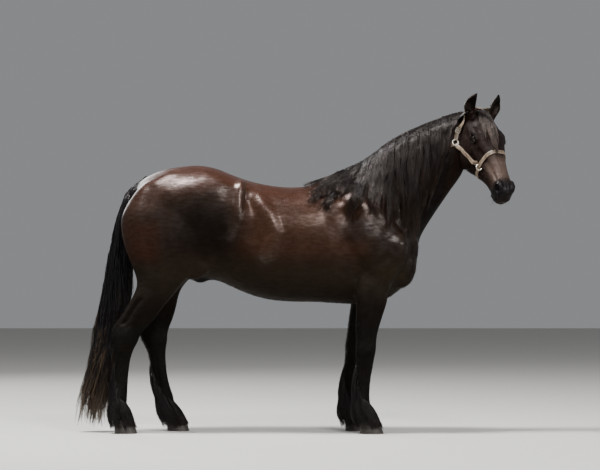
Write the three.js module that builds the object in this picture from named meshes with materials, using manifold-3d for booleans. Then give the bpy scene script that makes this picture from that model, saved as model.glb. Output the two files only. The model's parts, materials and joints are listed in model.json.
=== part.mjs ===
// A Friesian horse, life-size, standing, as a museum would show it: solid flesh parted where a person would name
// its parts, with its hooves, eyes, mane, tail and feather, and the leather halter that it wears.
// Millimetres, +Z up. The horse faces +X and its right side looks along -Y. It stands on the plane z = 0.
import * as THREE from "three";
import { mergeVertices } from "three/addons/utils/BufferGeometryUtils.js";
import Module from "manifold-3d";

const wasm = await Module();
wasm.setup();

// Driving dimensions
const MEDIAN_Y = 74; // the horse's median plane, so that the box round the turned head is centred on the origin
const GAP = 0.3; // between two parts that touch
const RIGHT = -1;
const LEFT = 1;

const WITHERS_TOP = 1588;
const CROUP_TOP = 1627;
const BACK_LOW = 1494;
const BELLY_LOW = 798;
const BARREL_HALF = 300; // half the width of the barrel at its widest
const CORONET_Z = 84;

const HEAD_LENGTH = 636; // from the poll to the lips
const HEAD_PITCH = 48.5; // degrees that the face points below the level
const HEAD_YAW = 67.5; // degrees that the face turns to the right
const HEAD_TILT = -7; // degrees that it leans over its own length
const POLL = [1132, -90, 1962]; // the top of the head between the ears

const EYE_R = 24;
const EYE_AT = [208, 82, -48]; // in the head's own frame, on its left side
const EAR_LENGTH = 170; // with its foot, which the head hides
const EAR_HALF_WIDTH = 34;
const EAR_WALL = 5;

// Materials
const paint = (color, roughness, metalness = 0) => new THREE.MeshStandardMaterial({ color, roughness, metalness });
const COAT = paint(0x2a1a15, 0.45);
const HAIR = paint(0x14110f, 0.5);
const HORN = paint(0x3b332c, 0.6);
const EYE = paint(0x120c08, 0.08);
const LEATHER = paint(0x7a5c42, 0.55);
const METAL = paint(0xb9b2a4, 0.3, 1);

const vec = (x, y, z) => new THREE.Vector3(x, y, z);
const X_AXIS = vec(1, 0, 0);
const Y_AXIS = vec(0, 1, 0);
const Z_AXIS = vec(0, 0, 1);

// A seeded run of numbers from 0 to 1, so that each build is the same.
function seeded(seed) {
  let state = seed;
  return () => {
    state = (state * 1664525 + 1013904223) % 4294967296;
    return state / 4294967296;
  };
}

// Solids

// A closed geometry as a solid, turned round if its faces look inwards.
function solid(geometry, matrix = new THREE.Matrix4()) {
  const bare = geometry.index ? geometry.toNonIndexed() : geometry.clone();
  const points = new THREE.BufferGeometry().setAttribute("position", bare.getAttribute("position"));
  const merged = mergeVertices(points.applyMatrix4(matrix), 1e-3);
  const place = merged.attributes.position;
  const faces = [];
  let sixVolumes = 0;
  const [a, b, c] = [vec(0, 0, 0), vec(0, 0, 0), vec(0, 0, 0)];
  for (let i = 0; i < merged.index.count; i += 3) {
    const f = [merged.index.getX(i), merged.index.getX(i + 1), merged.index.getX(i + 2)];
    if (f[0] === f[1] || f[1] === f[2] || f[0] === f[2]) continue;
    faces.push(f);
    [a, b, c].forEach((v, k) => v.fromBufferAttribute(place, f[k]));
    sixVolumes += a.dot(b.cross(c));
  }
  const triVerts = new Uint32Array(faces.flatMap((f) => (sixVolumes < 0 ? [f[0], f[2], f[1]] : f)));
  const mesh = new wasm.Mesh({ numProp: 3, vertProperties: new Float32Array(place.array), triVerts });
  return new wasm.Manifold(mesh);
}

const join = (...parts) => parts.flat().reduce((a, b) => a.add(b));

// Only the largest closed surface of a solid.
function largest(made) {
  return made.decompose().reduce((a, b) => (b.volume() > a.volume() ? b : a));
}

// The big block that fills one side of a plane, starting GAP / 2 from it.
function side(point, normal) {
  const reach = 6000;
  const turn = new THREE.Quaternion().setFromUnitVectors(Z_AXIS, normal.clone().normalize());
  const centre = point.clone().addScaledVector(normal.clone().normalize(), reach / 2 + GAP / 2);
  const matrix = new THREE.Matrix4().compose(centre, turn, vec(1, 1, 1));
  return solid(new THREE.BoxGeometry(reach, reach, reach), matrix);
}

function geometryOf(made) {
  const mesh = made.getMesh();
  const g = new THREE.BufferGeometry();
  g.setAttribute("position", new THREE.BufferAttribute(new Float32Array(mesh.vertProperties), 3));
  g.setIndex(new THREE.BufferAttribute(new Uint32Array(mesh.triVerts), 1));
  g.computeVertexNormals();
  return g;
}

function node(name, made, material) {
  const mesh = new THREE.Mesh(geometryOf(largest(made)), material);
  mesh.name = name;
  return mesh;
}

// Lofts

// A smooth value between rows of numbers, at u counted in rows.
function between(rows, u) {
  const i = Math.min(Math.floor(u), rows.length - 2);
  const t = u - i;
  const [p, q, r, s] = [rows[Math.max(i - 1, 0)], rows[i], rows[i + 1], rows[Math.min(i + 2, rows.length - 1)]];
  const mix = (a, b, c, d) =>
    b + 0.5 * t * (c - a + t * (2 * a - 5 * b + 4 * c - d + t * (3 * (b - c) + d - a)));
  return q.map((value, k) => mix(p[k], value, r[k], s[k]));
}

const power = (value, n) => Math.sign(value) * Math.pow(Math.abs(value), 2 / n);

// A closed form drawn through sections. section(u) gives a section's centre, the directions of its width and
// height, its reach along them each way, and how square it is above and below. The ends close to two points.
function loft(count, perRow, sides, section, bulge) {
  const rings = (count - 1) * perRow + 2;
  const g = new THREE.SphereGeometry(1, sides, rings);
  const { position, uv } = g.attributes;
  for (let i = 0; i < position.count; i += 1) {
    const ring = Math.round((1 - uv.getY(i)) * rings);
    const angle = 2 * Math.PI * uv.getX(i);
    const u = THREE.MathUtils.clamp((ring - 1) / perRow, 0, count - 1);
    const s = section(u);
    const p = s.centre.clone();
    if (ring === 0 || ring === rings) {
      const inner = section(ring === 0 ? 0.1 : count - 1.1).centre;
      p.add(s.centre.clone().sub(inner).normalize().multiplyScalar(bulge[ring === 0 ? 0 : 1]));
    } else {
      const [c, h] = [Math.cos(angle), Math.sin(angle)];
      const n = h > 0 ? s.squareUp : s.squareDown;
      p.addScaledVector(s.wide, power(c, n) * (c > 0 ? s.out : s.inn));
      p.addScaledVector(s.high, power(h, n) * (h > 0 ? s.up : s.down));
    }
    position.setXYZ(i, p.x, p.y, p.z);
  }
  return g;
}

// A body or head form: each row is x, top, level of the widest place, bottom, half width, squareness above and below.
function bodyLoft(rows, perRow, sides, bulge, grow = 0) {
  const section = (u) => {
    const [x, top, level, bottom, half, squareUp, squareDown] = between(rows, u);
    return {
      centre: vec(x, 0, level),
      wide: Y_AXIS,
      high: Z_AXIS,
      out: half + grow,
      inn: half + grow,
      up: top - level + grow,
      down: level - bottom + grow,
      squareUp,
      squareDown,
    };
  };
  return solid(loft(rows.length, perRow, sides, section, bulge.map((b) => b + grow)));
}

// A leg form: each row is z, x of its middle, depth from front to back, y of its middle, width, squareness.
function legLoft(rows, perRow, sides, bulge, grow = 0) {
  const section = (u) => {
    const [z, x, depth, y, width, square] = between(rows, u);
    return {
      centre: vec(x, y, z),
      wide: Y_AXIS,
      high: X_AXIS,
      out: width / 2 + grow,
      inn: width / 2 + grow,
      up: depth / 2 + grow,
      down: depth / 2 + grow,
      squareUp: square,
      squareDown: square,
    };
  };
  return solid(loft(rows.length, perRow, sides, section, bulge));
}

// An egg of three radii, turned to the given angles in degrees about X, Y and Z.
function egg(at, radii, turn = [0, 0, 0], sides = 12) {
  const angles = turn.map(THREE.MathUtils.degToRad);
  const matrix = new THREE.Matrix4().compose(
    vec(...at),
    new THREE.Quaternion().setFromEuler(new THREE.Euler(...angles, "ZYX")),
    vec(...radii),
  );
  return solid(new THREE.SphereGeometry(1, sides, Math.round(sides * 0.6)), matrix);
}

// A round bar between two points, each end with its own radius.
function bar(from, to, r0, r1, sides = 8) {
  const [a, b] = [vec(...from), vec(...to)];
  const along = b.clone().sub(a);
  const g = new THREE.SphereGeometry(1, sides, 6);
  const { position } = g.attributes;
  const turn = new THREE.Quaternion().setFromUnitVectors(Y_AXIS, along.clone().normalize());
  for (let i = 0; i < position.count; i += 1) {
    const p = vec(position.getX(i), position.getY(i), position.getZ(i));
    const far = p.y > 1e-6;
    p.multiplyScalar(far ? r1 : r0).applyQuaternion(turn).add(far ? b : a);
    position.setXYZ(i, p.x, p.y, p.z);
  }
  return solid(g);
}

// The trunk, from the dock to the breast: x, top, level of the widest place, bottom, half width, squareness
const TRUNK = [
  [-985, 1440, 1330, 1150, 60, 2, 2],
  [-950, 1512, 1340, 1060, 130, 2, 2],
  [-890, 1562, 1350, 985, 195, 2, 2],
  [-800, 1600, 1350, 950, 240, 2, 2],
  [-690, 1620, 1350, 935, 262, 2.05, 2],
  [-578, CROUP_TOP, 1350, 930, 272, 2.1, 2],
  [-470, 1606, 1345, 925, 278, 2.25, 2],
  [-385, 1571, 1310, 890, 282, 2.35, 2.05],
  [-270, 1532, 1210, 842, 276, 2.2, 2.2],
  [-150, 1506, 1160, 810, 292, 2.15, 2.2],
  [-20, BACK_LOW, 1145, BELLY_LOW, BARREL_HALF, 2.1, 2.15],
  [100, 1508, 1150, 797, 296, 1.95, 2.1],
  [190, 1552, 1155, 792, 284, 1.75, 2.1],
  [275, WITHERS_TOP, 1155, 787, 268, 1.55, 2.1],
  [360, 1560, 1150, 783, 252, 1.55, 2.1],
  [450, 1500, 1140, 786, 236, 1.7, 2.1],
  [540, 1420, 1120, 805, 214, 1.9, 2.1],
  [620, 1330, 1095, 850, 186, 2, 2.1],
  [690, 1240, 1070, 915, 142, 2, 2],
  [726, 1170, 1060, 965, 88, 2, 2],
];

// The neck: crest x, z; underside x, z; middle y; half width; how square its crest and its underside are
const NECK = [
  [262, 1570, 690, 930, 0, 205, 1.5, 2.1],
  [372, 1618, 735, 1075, 0, 176, 1.55, 2.1],
  [462, 1668, 772, 1195, 0, 148, 1.6, 2.1],
  [556, 1742, 842, 1312, -2, 122, 1.6, 2.1],
  [660, 1806, 905, 1405, -4, 106, 1.65, 2.1],
  [772, 1856, 962, 1488, -6, 96, 1.7, 2.1],
  [876, 1897, 1012, 1560, -8, 90, 1.75, 2.1],
  [972, 1930, 1052, 1628, -8, 86, 1.8, 2.1],
  [1050, 1944, 1085, 1690, -6, 76, 1.9, 2.1],
];
const NECK_LEVEL = 0.42; // how far up its depth the neck is widest

// Legs: levels with the leg's depth from front to back, width, squareness and distance from the median plane
const HIND_FORM = [
  [1570, 210, 120, 2, 96], [1500, 380, 178, 2, 108], [1400, 500, 222, 2.05, 124], [1300, 560, 246, 2.1, 146],
  [1200, 540, 252, 2.1, 154], [1100, 476, 230, 2.1, 156], [1010, 392, 196, 2.1, 154], [916, 288, 158, 2.1, 150],
  [850, 250, 136, 2.1, 147], [760, 220, 112, 2, 142], [690, 214, 92, 2, 139], [645, 206, 84, 2.1, 137],
  [600, 174, 94, 2.2, 136], [555, 150, 92, 2.2, 135], [500, 114, 76, 2.1, 134], [440, 90, 62, 2.1, 133],
  [360, 76, 54, 2.1, 132], [285, 78, 58, 2.1, 132], [215, 96, 78, 2.1, 134], [180, 97, 80, 2.1, 135],
  [140, 80, 70, 2.1, 136], [104, 94, 92, 2.1, 137], [60, 108, 106, 2.1, 137],
];
const HIND_RIGHT_X = [
  -700, -735, -752, -765, -770, -777, -783, -806, -842, -905, -953, -992,
  -1015, -1021, -1031, -1040, -1046, -1051, -1061, -1063, -1052, -1041, -1034,
];
const HIND_LEFT_X = [
  -700, -730, -745, -752, -752, -755, -766, -806, -830, -838, -856, -870,
  -867, -858, -848, -840, -828, -813, -797, -789, -767, -745, -727,
];
const FORE_FORM = [
  [1500, 130, 100, 2, 70], [1430, 220, 150, 2, 104], [1350, 290, 184, 2, 130], [1260, 340, 206, 2.05, 150],
  [1170, 366, 214, 2.1, 160], [1090, 360, 206, 2.1, 163], [1010, 310, 180, 2.1, 160], [940, 256, 152, 2.1, 158],
  [870, 216, 138, 2.1, 157], [797, 190, 124, 2.1, 156], [722, 164, 112, 2.1, 155], [621, 134, 96, 2.1, 153],
  [560, 118, 92, 2.2, 152], [500, 118, 106, 2.4, 152], [450, 106, 96, 2.3, 151], [389, 84, 68, 2.1, 150],
  [326, 78, 60, 2.1, 150], [250, 80, 62, 2.1, 150], [205, 98, 82, 2.1, 150], [170, 98, 82, 2.1, 150],
  [135, 82, 72, 2.1, 150], [104, 98, 98, 2.1, 150], [60, 114, 112, 2.1, 150],
];
const FORE_RIGHT_X = [
  350, 378, 408, 444, 488, 508, 500, 478, 464, 466, 455, 439, 437, 433, 428, 425, 415, 410, 404, 411, 430, 444, 452,
];
const FORE_LEFT_X = [
  350, 378, 408, 444, 488, 506, 492, 464, 448, 444, 422, 397, 383, 379, 371, 355, 342, 332, 326, 330, 346, 360, 368,
];
const legRows = (form, xs, sign) =>
  form.map(([z, depth, width, square, y], i) => [z, xs[i], depth, sign * y, width, square]);

// Hooves: level, how far the middle lies ahead of the pastern's foot, depth, width
const HOOF = [
  [118, -14, 104, 100, 2.1],
  [86, -3, 117, 114, 2.15],
  [45, 6, 132, 128, 2.2],
  [0, 14, 146, 142, 2.25],
];
const CORONET_SLOPE = 0.34; // how much the coronet falls for each millimetre towards the heel
const KNIT_Z = 300; // where the pastern, with its feather, is parted from the leg

const LEGS = [
  { name: "hind_right", rows: legRows(HIND_FORM, HIND_RIGHT_X, RIGHT), top: 905, foot: [-1030, RIGHT * 137], size: 0.95 },
  { name: "hind_left", rows: legRows(HIND_FORM, HIND_LEFT_X, LEFT), top: 905, foot: [-727, LEFT * 137], size: 0.95 },
  { name: "fore_right", rows: legRows(FORE_FORM, FORE_RIGHT_X, RIGHT), top: 830, foot: [454, RIGHT * 150], size: 1 },
  { name: "fore_left", rows: legRows(FORE_FORM, FORE_LEFT_X, LEFT), top: 830, foot: [372, LEFT * 150], size: 1 },
];

function neckFlesh(grow = 0) {
  const section = (u) => {
    const [crestX, crestZ, underX, underZ, y, half, squareUp, squareDown] = between(NECK, u);
    const [crest, under] = [vec(crestX, y, crestZ), vec(underX, y, underZ)];
    const high = crest.clone().sub(under);
    const depth = high.length();
    high.normalize();
    return {
      centre: under.clone().lerp(crest, NECK_LEVEL),
      wide: Y_AXIS,
      high,
      out: half + grow,
      inn: half + grow,
      up: depth * (1 - NECK_LEVEL) + grow,
      down: depth * NECK_LEVEL + grow,
      squareUp,
      squareDown,
    };
  };
  return solid(loft(NECK.length, 2, 18, section, [0, 0]));
}

// The breast and the stifle on both sides, and the sheath
function masses(grow = 0) {
  const grown = (radii) => radii.map((r) => r + grow);
  const pairs = [RIGHT, LEFT].flatMap((s) => [
    egg([645, s * 76, 1025], grown([98, 82, 150])), // breast
    egg([-622, s * 158, 1082], grown([122, 58, 196]), [0, -24, 0]), // stifle
  ]);
  const sheath = egg([-568, 0, 945], grown([58, 40, 40]), [0, -12, 0]);
  return join(pairs, sheath);
}

function body(grow = 0) {
  const trunk = bodyLoft(TRUNK, 2, 18, [25, 24], grow);
  const limbs = LEGS.map(({ rows }) => legLoft(rows, 1, 12, [20, 0], grow));
  return join(trunk, masses(grow), limbs);
}

// How far the right side reaches from the median plane at a place (x, z): the furthest of trunk, neck and shoulder.
const arch = (part, half, square) => (part >= 1 ? 0 : half * Math.pow(1 - Math.pow(part, square), 1 / square));
function rowAt(rows, column, value) {
  const up = rows[rows.length - 1][column] > rows[0][column];
  const i = rows.findIndex((row) => (up ? row[column] >= value : row[column] <= value));
  if (i < 1) return null;
  return between(rows, i - 1 + (value - rows[i - 1][column]) / (rows[i][column] - rows[i - 1][column]));
}
const NECK_ROWS = Array.from({ length: 81 }, (_, i) => between(NECK, (i / 80) * (NECK.length - 1)));
function flank(x, z) {
  let reach = 0;
  const trunk = rowAt(TRUNK, 0, x);
  if (trunk) {
    const [, top, level, bottom, half, squareUp, squareDown] = trunk;
    const part = z > level ? (z - level) / (top - level) : (level - z) / (level - bottom);
    reach = Math.max(reach, arch(part, half, z > level ? squareUp : squareDown));
  }
  const shoulder = rowAt(LEGS[2].rows, 0, z);
  if (shoulder) {
    const [, middle, depth, y, width, square] = shoulder;
    const across = arch(Math.abs(x - middle) / (depth / 2), width / 2, square);
    if (across > 0) reach = Math.max(reach, -y + across);
  }
  let nearest = null;
  NECK_ROWS.forEach(([crestX, crestZ, underX, underZ, y, half, squareUp, squareDown]) => {
    const [hx, hz] = [crestX - underX, crestZ - underZ];
    const depth = Math.hypot(hx, hz);
    const off = Math.abs((x - underX) * hz - (z - underZ) * hx) / depth;
    const along = ((x - underX) * hx + (z - underZ) * hz) / depth / depth;
    if (!nearest || off < nearest.off) nearest = { off, along, y, half, squareUp, squareDown };
  });
  if (nearest.off < 20 && nearest.along > 0 && nearest.along < 1) {
    const above = nearest.along > NECK_LEVEL;
    const part = above
      ? (nearest.along - NECK_LEVEL) / (1 - NECK_LEVEL)
      : (NECK_LEVEL - nearest.along) / NECK_LEVEL;
    reach = Math.max(reach, -nearest.y + arch(part, nearest.half, above ? nearest.squareUp : nearest.squareDown));
  }
  return reach;
}

// Head, in its own frame: x runs from the poll down the face, z out of the forehead, drawn 612 long
const HEAD = [
  [-62, -40, -115, -185, 58, 2, 2],
  [-15, -8, -108, -222, 72, 2, 2],
  [40, 5, -95, -252, 84, 2.2, 2.2],
  [100, 14, -85, -278, 93, 2.4, 2.2],
  [160, 19, -72, -294, 98, 2.6, 2.2],
  [215, 18, -64, -289, 99, 2.7, 2.2],
  [270, 10, -64, -268, 86, 2.7, 2.2],
  [330, 2, -72, -238, 71, 2.6, 2.3],
  [395, -8, -85, -207, 58, 2.4, 2.4],
  [455, -17, -95, -184, 51, 2.3, 2.5],
  [510, -27, -100, -171, 52, 2.3, 2.6],
  [555, -38, -102, -167, 55, 2.3, 2.6],
  [590, -54, -108, -166, 51, 2.3, 2.5],
  [612, -76, -115, -156, 38, 2.2, 2.2],
];

const headMatrix = new THREE.Matrix4()
  .makeTranslation(...POLL)
  .multiply(new THREE.Matrix4().makeRotationZ(THREE.MathUtils.degToRad(-HEAD_YAW)))
  .multiply(new THREE.Matrix4().makeRotationY(THREE.MathUtils.degToRad(HEAD_PITCH)))
  .multiply(new THREE.Matrix4().makeRotationX(THREE.MathUtils.degToRad(HEAD_TILT)))
  .scale(vec(1, 1, 1).multiplyScalar(HEAD_LENGTH / 612));
const onHead = (made) => made.transform(headMatrix.toArray());

function headFlesh(grow = 0) {
  const grown = (radii) => radii.map((r) => r + grow);
  const skull = bodyLoft(HEAD, 1, 18, [20, 12], grow);
  const pairs = [RIGHT, LEFT].flatMap((s) => [
    egg([170, s * 60, -178], grown([116, 34, 112]), [0, -14, 0]), // cheek
    egg([36, s * 62, -40], grown([36, 30, 36]), [0, 0, 0], 12), // foot of the ear
    egg([196, s * 80, -34], grown([66, 28, 26]), [0, 6, s * -6], 12), // brow
    bar([225, s * 90, -88], [350, s * 60, -98], 15 + grow, 8 + grow), // crest of the cheek bone
    egg([556, s * 40, -70], grown([42, 22, 32]), [0, 20, s * -10], 12), // nostril's rim
  ]);
  const lips = [
    egg([594, 0, -116], grown([34, 48, 30]), [0, 12, 0], 14),
    egg([574, 0, -156], grown([40, 41, 20]), [0, -4, 0], 14),
    egg([540, 0, -168], grown([36, 34, 20]), [0, 0, 0], 14),
  ];
  return join(skull, pairs, lips);
}

const lidsOf = (s, grow = 0) => {
  const [x, y, z] = EYE_AT;
  return egg([x, s * (y - 1), z], [34 + grow, 28 + grow, 27 + grow], [0, 12, s * -10], 14);
};

// The hollow between the jaws, lids round each eye, the sockets, the nostrils and the line of the mouth
function finishHead(flesh) {
  let made = flesh.subtract(egg([245, 0, -312], [190, 32, 66], [0, -14, 0]));
  [RIGHT, LEFT].forEach((s) => {
    const [x, y, z] = EYE_AT;
    const lids = lidsOf(s);
    const slot = egg([x, s * (y + 26), z], [23, 22, 13], [0, 12, s * -10], 14);
    const socket = egg([x, s * y, z], [EYE_R + GAP, EYE_R + GAP, EYE_R + GAP], [0, 0, 0], 14);
    const nostril = egg([574, s * 56, -72], [26, 16, 15], [0, 52, s * -22], 12);
    made = made.add(lids).subtract(slot).subtract(socket).subtract(nostril);
  });
  const lipLine = egg([560, 0, -138], [75, 90, 2.4], [0, -4, 0]);
  const core = egg([545, 0, -138], [60, 38, 30], [0, 0, 0], 12);
  return made.subtract(lipLine.subtract(core));
}

// An ear in the head's frame: a leaf whose tip bends inwards, hollowed from in front
const EAR_AXES = { [RIGHT]: vec(-0.22, -0.22, 0.93).normalize(), [LEFT]: vec(-0.32, 0.06, 0.93).normalize() };
const EAR_FOOT = [38, 68, -40];
const EAR_BOW = 15; // how far its middle bows outwards
function ear(s) {
  const rows = [
    [0, 22, 24], [0.22, 27, 28], [0.38, 31, EAR_HALF_WIDTH], [0.55, 28, 32], [0.73, 19, 24], [0.88, 10, 13], [0.98, 4, 4],
  ];
  const axis = EAR_AXES[s];
  const open = vec(0.9, s * 0.25, 0.3).normalize();
  const across = vec(0, 0, 0).crossVectors(axis, open).normalize();
  const front = vec(0, 0, 0).crossVectors(across, axis).normalize();
  if (across.y * s < 0) across.negate();
  const leaf = (shrink, forward, from) => {
    const section = (u) => {
      const [t, deep, half] = between(rows, u);
      const [x, y, z] = EAR_FOOT;
      const centre = vec(x, s * y, z).addScaledVector(axis, from + t * (EAR_LENGTH - from - shrink));
      centre.addScaledVector(front, forward - 10 * Math.sin(Math.PI * t));
      centre.addScaledVector(across, EAR_BOW * (Math.sin(Math.PI * t) - t * t));
      const [w, d] = [Math.max(half - shrink, 1.5), Math.max(deep - shrink, 1.5)];
      return { centre, wide: across, high: front, out: w, inn: w, up: d, down: d, squareUp: 2, squareDown: 2 };
    };
    return solid(loft(rows.length, 1, 10, section, [12, 5]));
  };
  return leaf(0, 0, 0).subtract(leaf(EAR_WALL, 17, 50)).subtract(headFlesh(GAP));
}

// Halter: straps that lie on the head, and its metal
const STRAP_WIDTH = 24;
const STRAP_THICK = 4;
const CROWN_AT = [-20, -20]; // x and z where the crown strap crosses behind the ears
const THROAT_AT = [112, -182]; // where the crown, throat and cheek straps meet
const NOSE_AT = [356, -148]; // where the cheek strap meets the noseband
const UNDER_THROAT = [82, -285];
const LAP = 11; // how far a strap runs on past the place where it meets another
function straps(thick, width) {
  const flat = ([x, z]) => vec(x, 0, z);
  const headShell = headFlesh(thick).subtract(headFlesh(GAP));
  const nearHead = solid(new THREE.BoxGeometry(900, 212, 900));
  const shell = join(headFlesh(thick), neckInHead(thick))
    .subtract(join(headFlesh(GAP), neckInHead(GAP)))
    .intersect(nearHead);
  // the part of a shell that lies along the line from one point to another, seen from the side
  const along = (skin, from, to) => {
    const [a, b] = [flat(from), flat(to)];
    const run = b.clone().sub(a).normalize();
    const normal = vec(-run.z, 0, run.x);
    const edge = (sign) => side(a.clone().addScaledVector(normal, sign * (-width / 2)), normal.clone().multiplyScalar(sign));
    return skin
      .intersect(edge(1))
      .intersect(edge(-1))
      .intersect(side(a.clone().addScaledVector(run, -LAP), run))
      .intersect(side(b.clone().addScaledVector(run, LAP), run.clone().negate()));
  };
  const [nx, nz] = NOSE_AT;
  const noseband = along(headShell, [nx + 4, 300], [nx - 4, -400]);
  const cheeks = along(headShell, THROAT_AT, NOSE_AT);
  const crown = along(shell, [CROWN_AT[0] - 60, CROWN_AT[1] + 73], THROAT_AT);
  const throat = along(shell, THROAT_AT, UNDER_THROAT);
  return join(noseband, cheeks, crown, throat).subtract(join(lidsOf(RIGHT, GAP), lidsOf(LEFT, GAP), neckInHead(GAP)));
}
const headInverse = headMatrix.clone().invert();
const neckInHead = (grow) => neckFlesh(grow).transform(headInverse.toArray());

function ring(at, radius, wire, tilt) {
  const g = new THREE.TorusGeometry(radius, wire, 6, 12);
  const matrix = new THREE.Matrix4().compose(
    vec(...at),
    new THREE.Quaternion().setFromEuler(new THREE.Euler(...tilt.map(THREE.MathUtils.degToRad), "ZYX")),
    vec(1, 1, 1),
  );
  return solid(g, matrix);
}

// The whole horse without its hair, and the planes that part it
const HEAD_CUT = { at: vec(POLL[0] - 99, POLL[1] + 59, POLL[2] + 12), normal: vec(0.84, -0.5, -0.1).normalize() };
const BASE_CUT = { at: vec(262, 0, 1590), normal: vec(0.74, 0, 0.67).normalize() };
const headSide = side(HEAD_CUT.at, HEAD_CUT.normal);
const neckSide = side(HEAD_CUT.at, HEAD_CUT.normal.clone().negate()).intersect(side(BASE_CUT.at, BASE_CUT.normal));
const bodySide = side(BASE_CUT.at, BASE_CUT.normal.clone().negate());
const ears = [RIGHT, LEFT].map((s) => ear(s));
const neckAll = neckFlesh();
const bodyAll = body();

const model = new THREE.Group();
const horse = new THREE.Group();
horse.position.y = MEDIAN_Y;
model.add(horse);
const add = (name, made, material) => horse.add(node(name, made, material));

const headSolid = finishHead(headFlesh());
ears.forEach((made, i) => add(i === 0 ? "ear_right" : "ear_left", onHead(made), COAT));
[RIGHT, LEFT].forEach((s) => {
  const [x, y, z] = EYE_AT;
  const ball = egg([x, s * y, z], [EYE_R, EYE_R, EYE_R], [0, 0, 0], 14);
  add(s === RIGHT ? "eye_right" : "eye_left", onHead(ball), EYE);
});

const strapSolid = onHead(straps(STRAP_THICK, STRAP_WIDTH));
add("halter_straps", strapSolid, LEATHER);
const strapRoom = onHead(join(headFlesh(STRAP_THICK + GAP), neckInHead(STRAP_THICK + GAP)));
[RIGHT, LEFT].forEach((s) => {
  const word = s === RIGHT ? "right" : "left";
  const [[tx, tz], [nx, nz]] = [THROAT_AT, NOSE_AT];
  const noseRing = ring([nx, s * 67, nz], 18, 3.4, [84 * s, 0, s * 10]);
  const throatRing = ring([tx, s * 101, tz], 17, 3.4, [90 * s, 0, 0]);
  add(`halter_nose_ring_${word}`, onHead(noseRing).subtract(strapRoom), METAL);
  add(`halter_throat_ring_${word}`, onHead(throatRing).subtract(strapRoom), METAL);
});

const neckBody = join(neckAll, bodyAll, onHead(headSolid));

// Hair: flat tapered locks, each a loft of four-sided sections along its own path, fused to what it grows from

// How wide and how thick a lock is along its length, as parts of its greatest width and thickness
const LOCK_FORM = [[0, 0.6, 0.8], [0.14, 0.86, 1], [0.4, 1, 1], [0.72, 0.74, 0.8], [1, 0.1, 0.2]];
function lock(path, outward, width, thick, form = LOCK_FORM, slant = null) {
  const section = (u) => {
    const [t, w, h] = between(form, u);
    const centre = path(t);
    const along = path(t + 0.03).sub(path(Math.max(t - 0.03, 0))).normalize();
    const out = outward(t);
    const high = out.addScaledVector(along, -out.dot(along)).normalize();
    const wide = slant ? slant(t) : vec(0, 0, 0).crossVectors(along, high);
    const [a, b] = [(w * width) / 2, (h * thick) / 2];
    return { centre, wide, high, out: a, inn: a, up: b, down: b, squareUp: 2, squareDown: 2 };
  };
  return solid(loft(form.length, 1, 4, section, [4, 8]));
}

const MANE_LOCKS = 16;
const MANE_WIDTH = 124;
const MANE_THICK = 16;
const MANE_CLEAR = 4; // between the skin and the hair that lies over it
const MANE_LENGTH = (s) => 330 + 200 * s - 250 * s ** 4; // from the withers, s = 0, to behind the ears, s = 1
const MANE_SWEEP = (s) => 26 + 120 * (1 - s) ** 2; // how far a tip lies behind its root
function mane() {
  const chance = seeded(11);
  return Array.from({ length: MANE_LOCKS }, (_, i) => {
    const over = i % 2; // every other lock lies over its neighbours
    const s = THREE.MathUtils.clamp((i + 0.3 + 0.5 * chance()) / MANE_LOCKS, 0, 1);
    const [crestX, crestZ, , , y] = between(NECK, 0.12 + 7.05 * s);
    const length = MANE_LENGTH(s) * (0.82 + 0.26 * chance()) * (over ? 0.9 : 1);
    const sweep = MANE_SWEEP(s) * (0.6 + 0.8 * chance());
    const [wave, turn] = [9 + 10 * chance(), 6.3 * chance()];
    const raise = MANE_CLEAR + MANE_THICK / 2 + over * 18 + 16 * Math.max(0, 1 - s / 0.4);
    const [nextX, nextZ] = between(NECK, 0.3 + 7.05 * s);
    const crestLine = vec(crestX - nextX, 0, crestZ - nextZ).normalize();
    const path = (t) => {
      const x = crestX - sweep * t ** 1.4 + wave * t * Math.sin(5.5 * t + turn);
      if (t < 0.1) return vec(x, y + 14 - 120 * t, crestZ - 16 + (260 + 90 * over) * t);
      const z = crestZ + (10 + 9 * over) * (1 - t) ** 3 - length * Math.max(t - 0.1, 0) ** 1.1;
      return vec(x, -Math.max(flank(x, z), 2 - y) - raise * Math.min((t - 0.04) / 0.16, 1), z);
    };
    const outward = (t) => vec(0, -Math.min(1, 0.15 + 5 * t), Math.max(0.1, 1 - 3 * t));
    const slant = (t) => crestLine.clone().lerp(vec(-1, 0, 0), Math.min(t, 1)).normalize();
    return lock(path, outward, MANE_WIDTH * (0.8 + 0.4 * chance()), MANE_THICK, LOCK_FORM, slant);
  });
}

const FORELOCK_LOCKS = 4;
const FORELOCK_LENGTH = 255;
function forelock() {
  const chance = seeded(5);
  return Array.from({ length: FORELOCK_LOCKS }, (_, i) => {
    const across = (i / (FORELOCK_LOCKS - 1) - 0.5) * 2;
    const length = FORELOCK_LENGTH * (1 - 0.34 * across * across) * (0.88 + 0.2 * chance());
    const bend = 8 * (chance() - 0.5);
    const path = (t) => {
      const x = 14 + length * t;
      const rest = rowAt(HEAD, 0, x)[1];
      return vec(x, across * (22 + 20 * t) + bend * Math.sin(4 * t), rest - 14 + 26 * Math.min(t / 0.14, 1) - 5 * t);
    };
    return lock(path, () => vec(0, across * 0.35, 1), 38, 13, FEATHER_FORM);
  });
}

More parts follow.
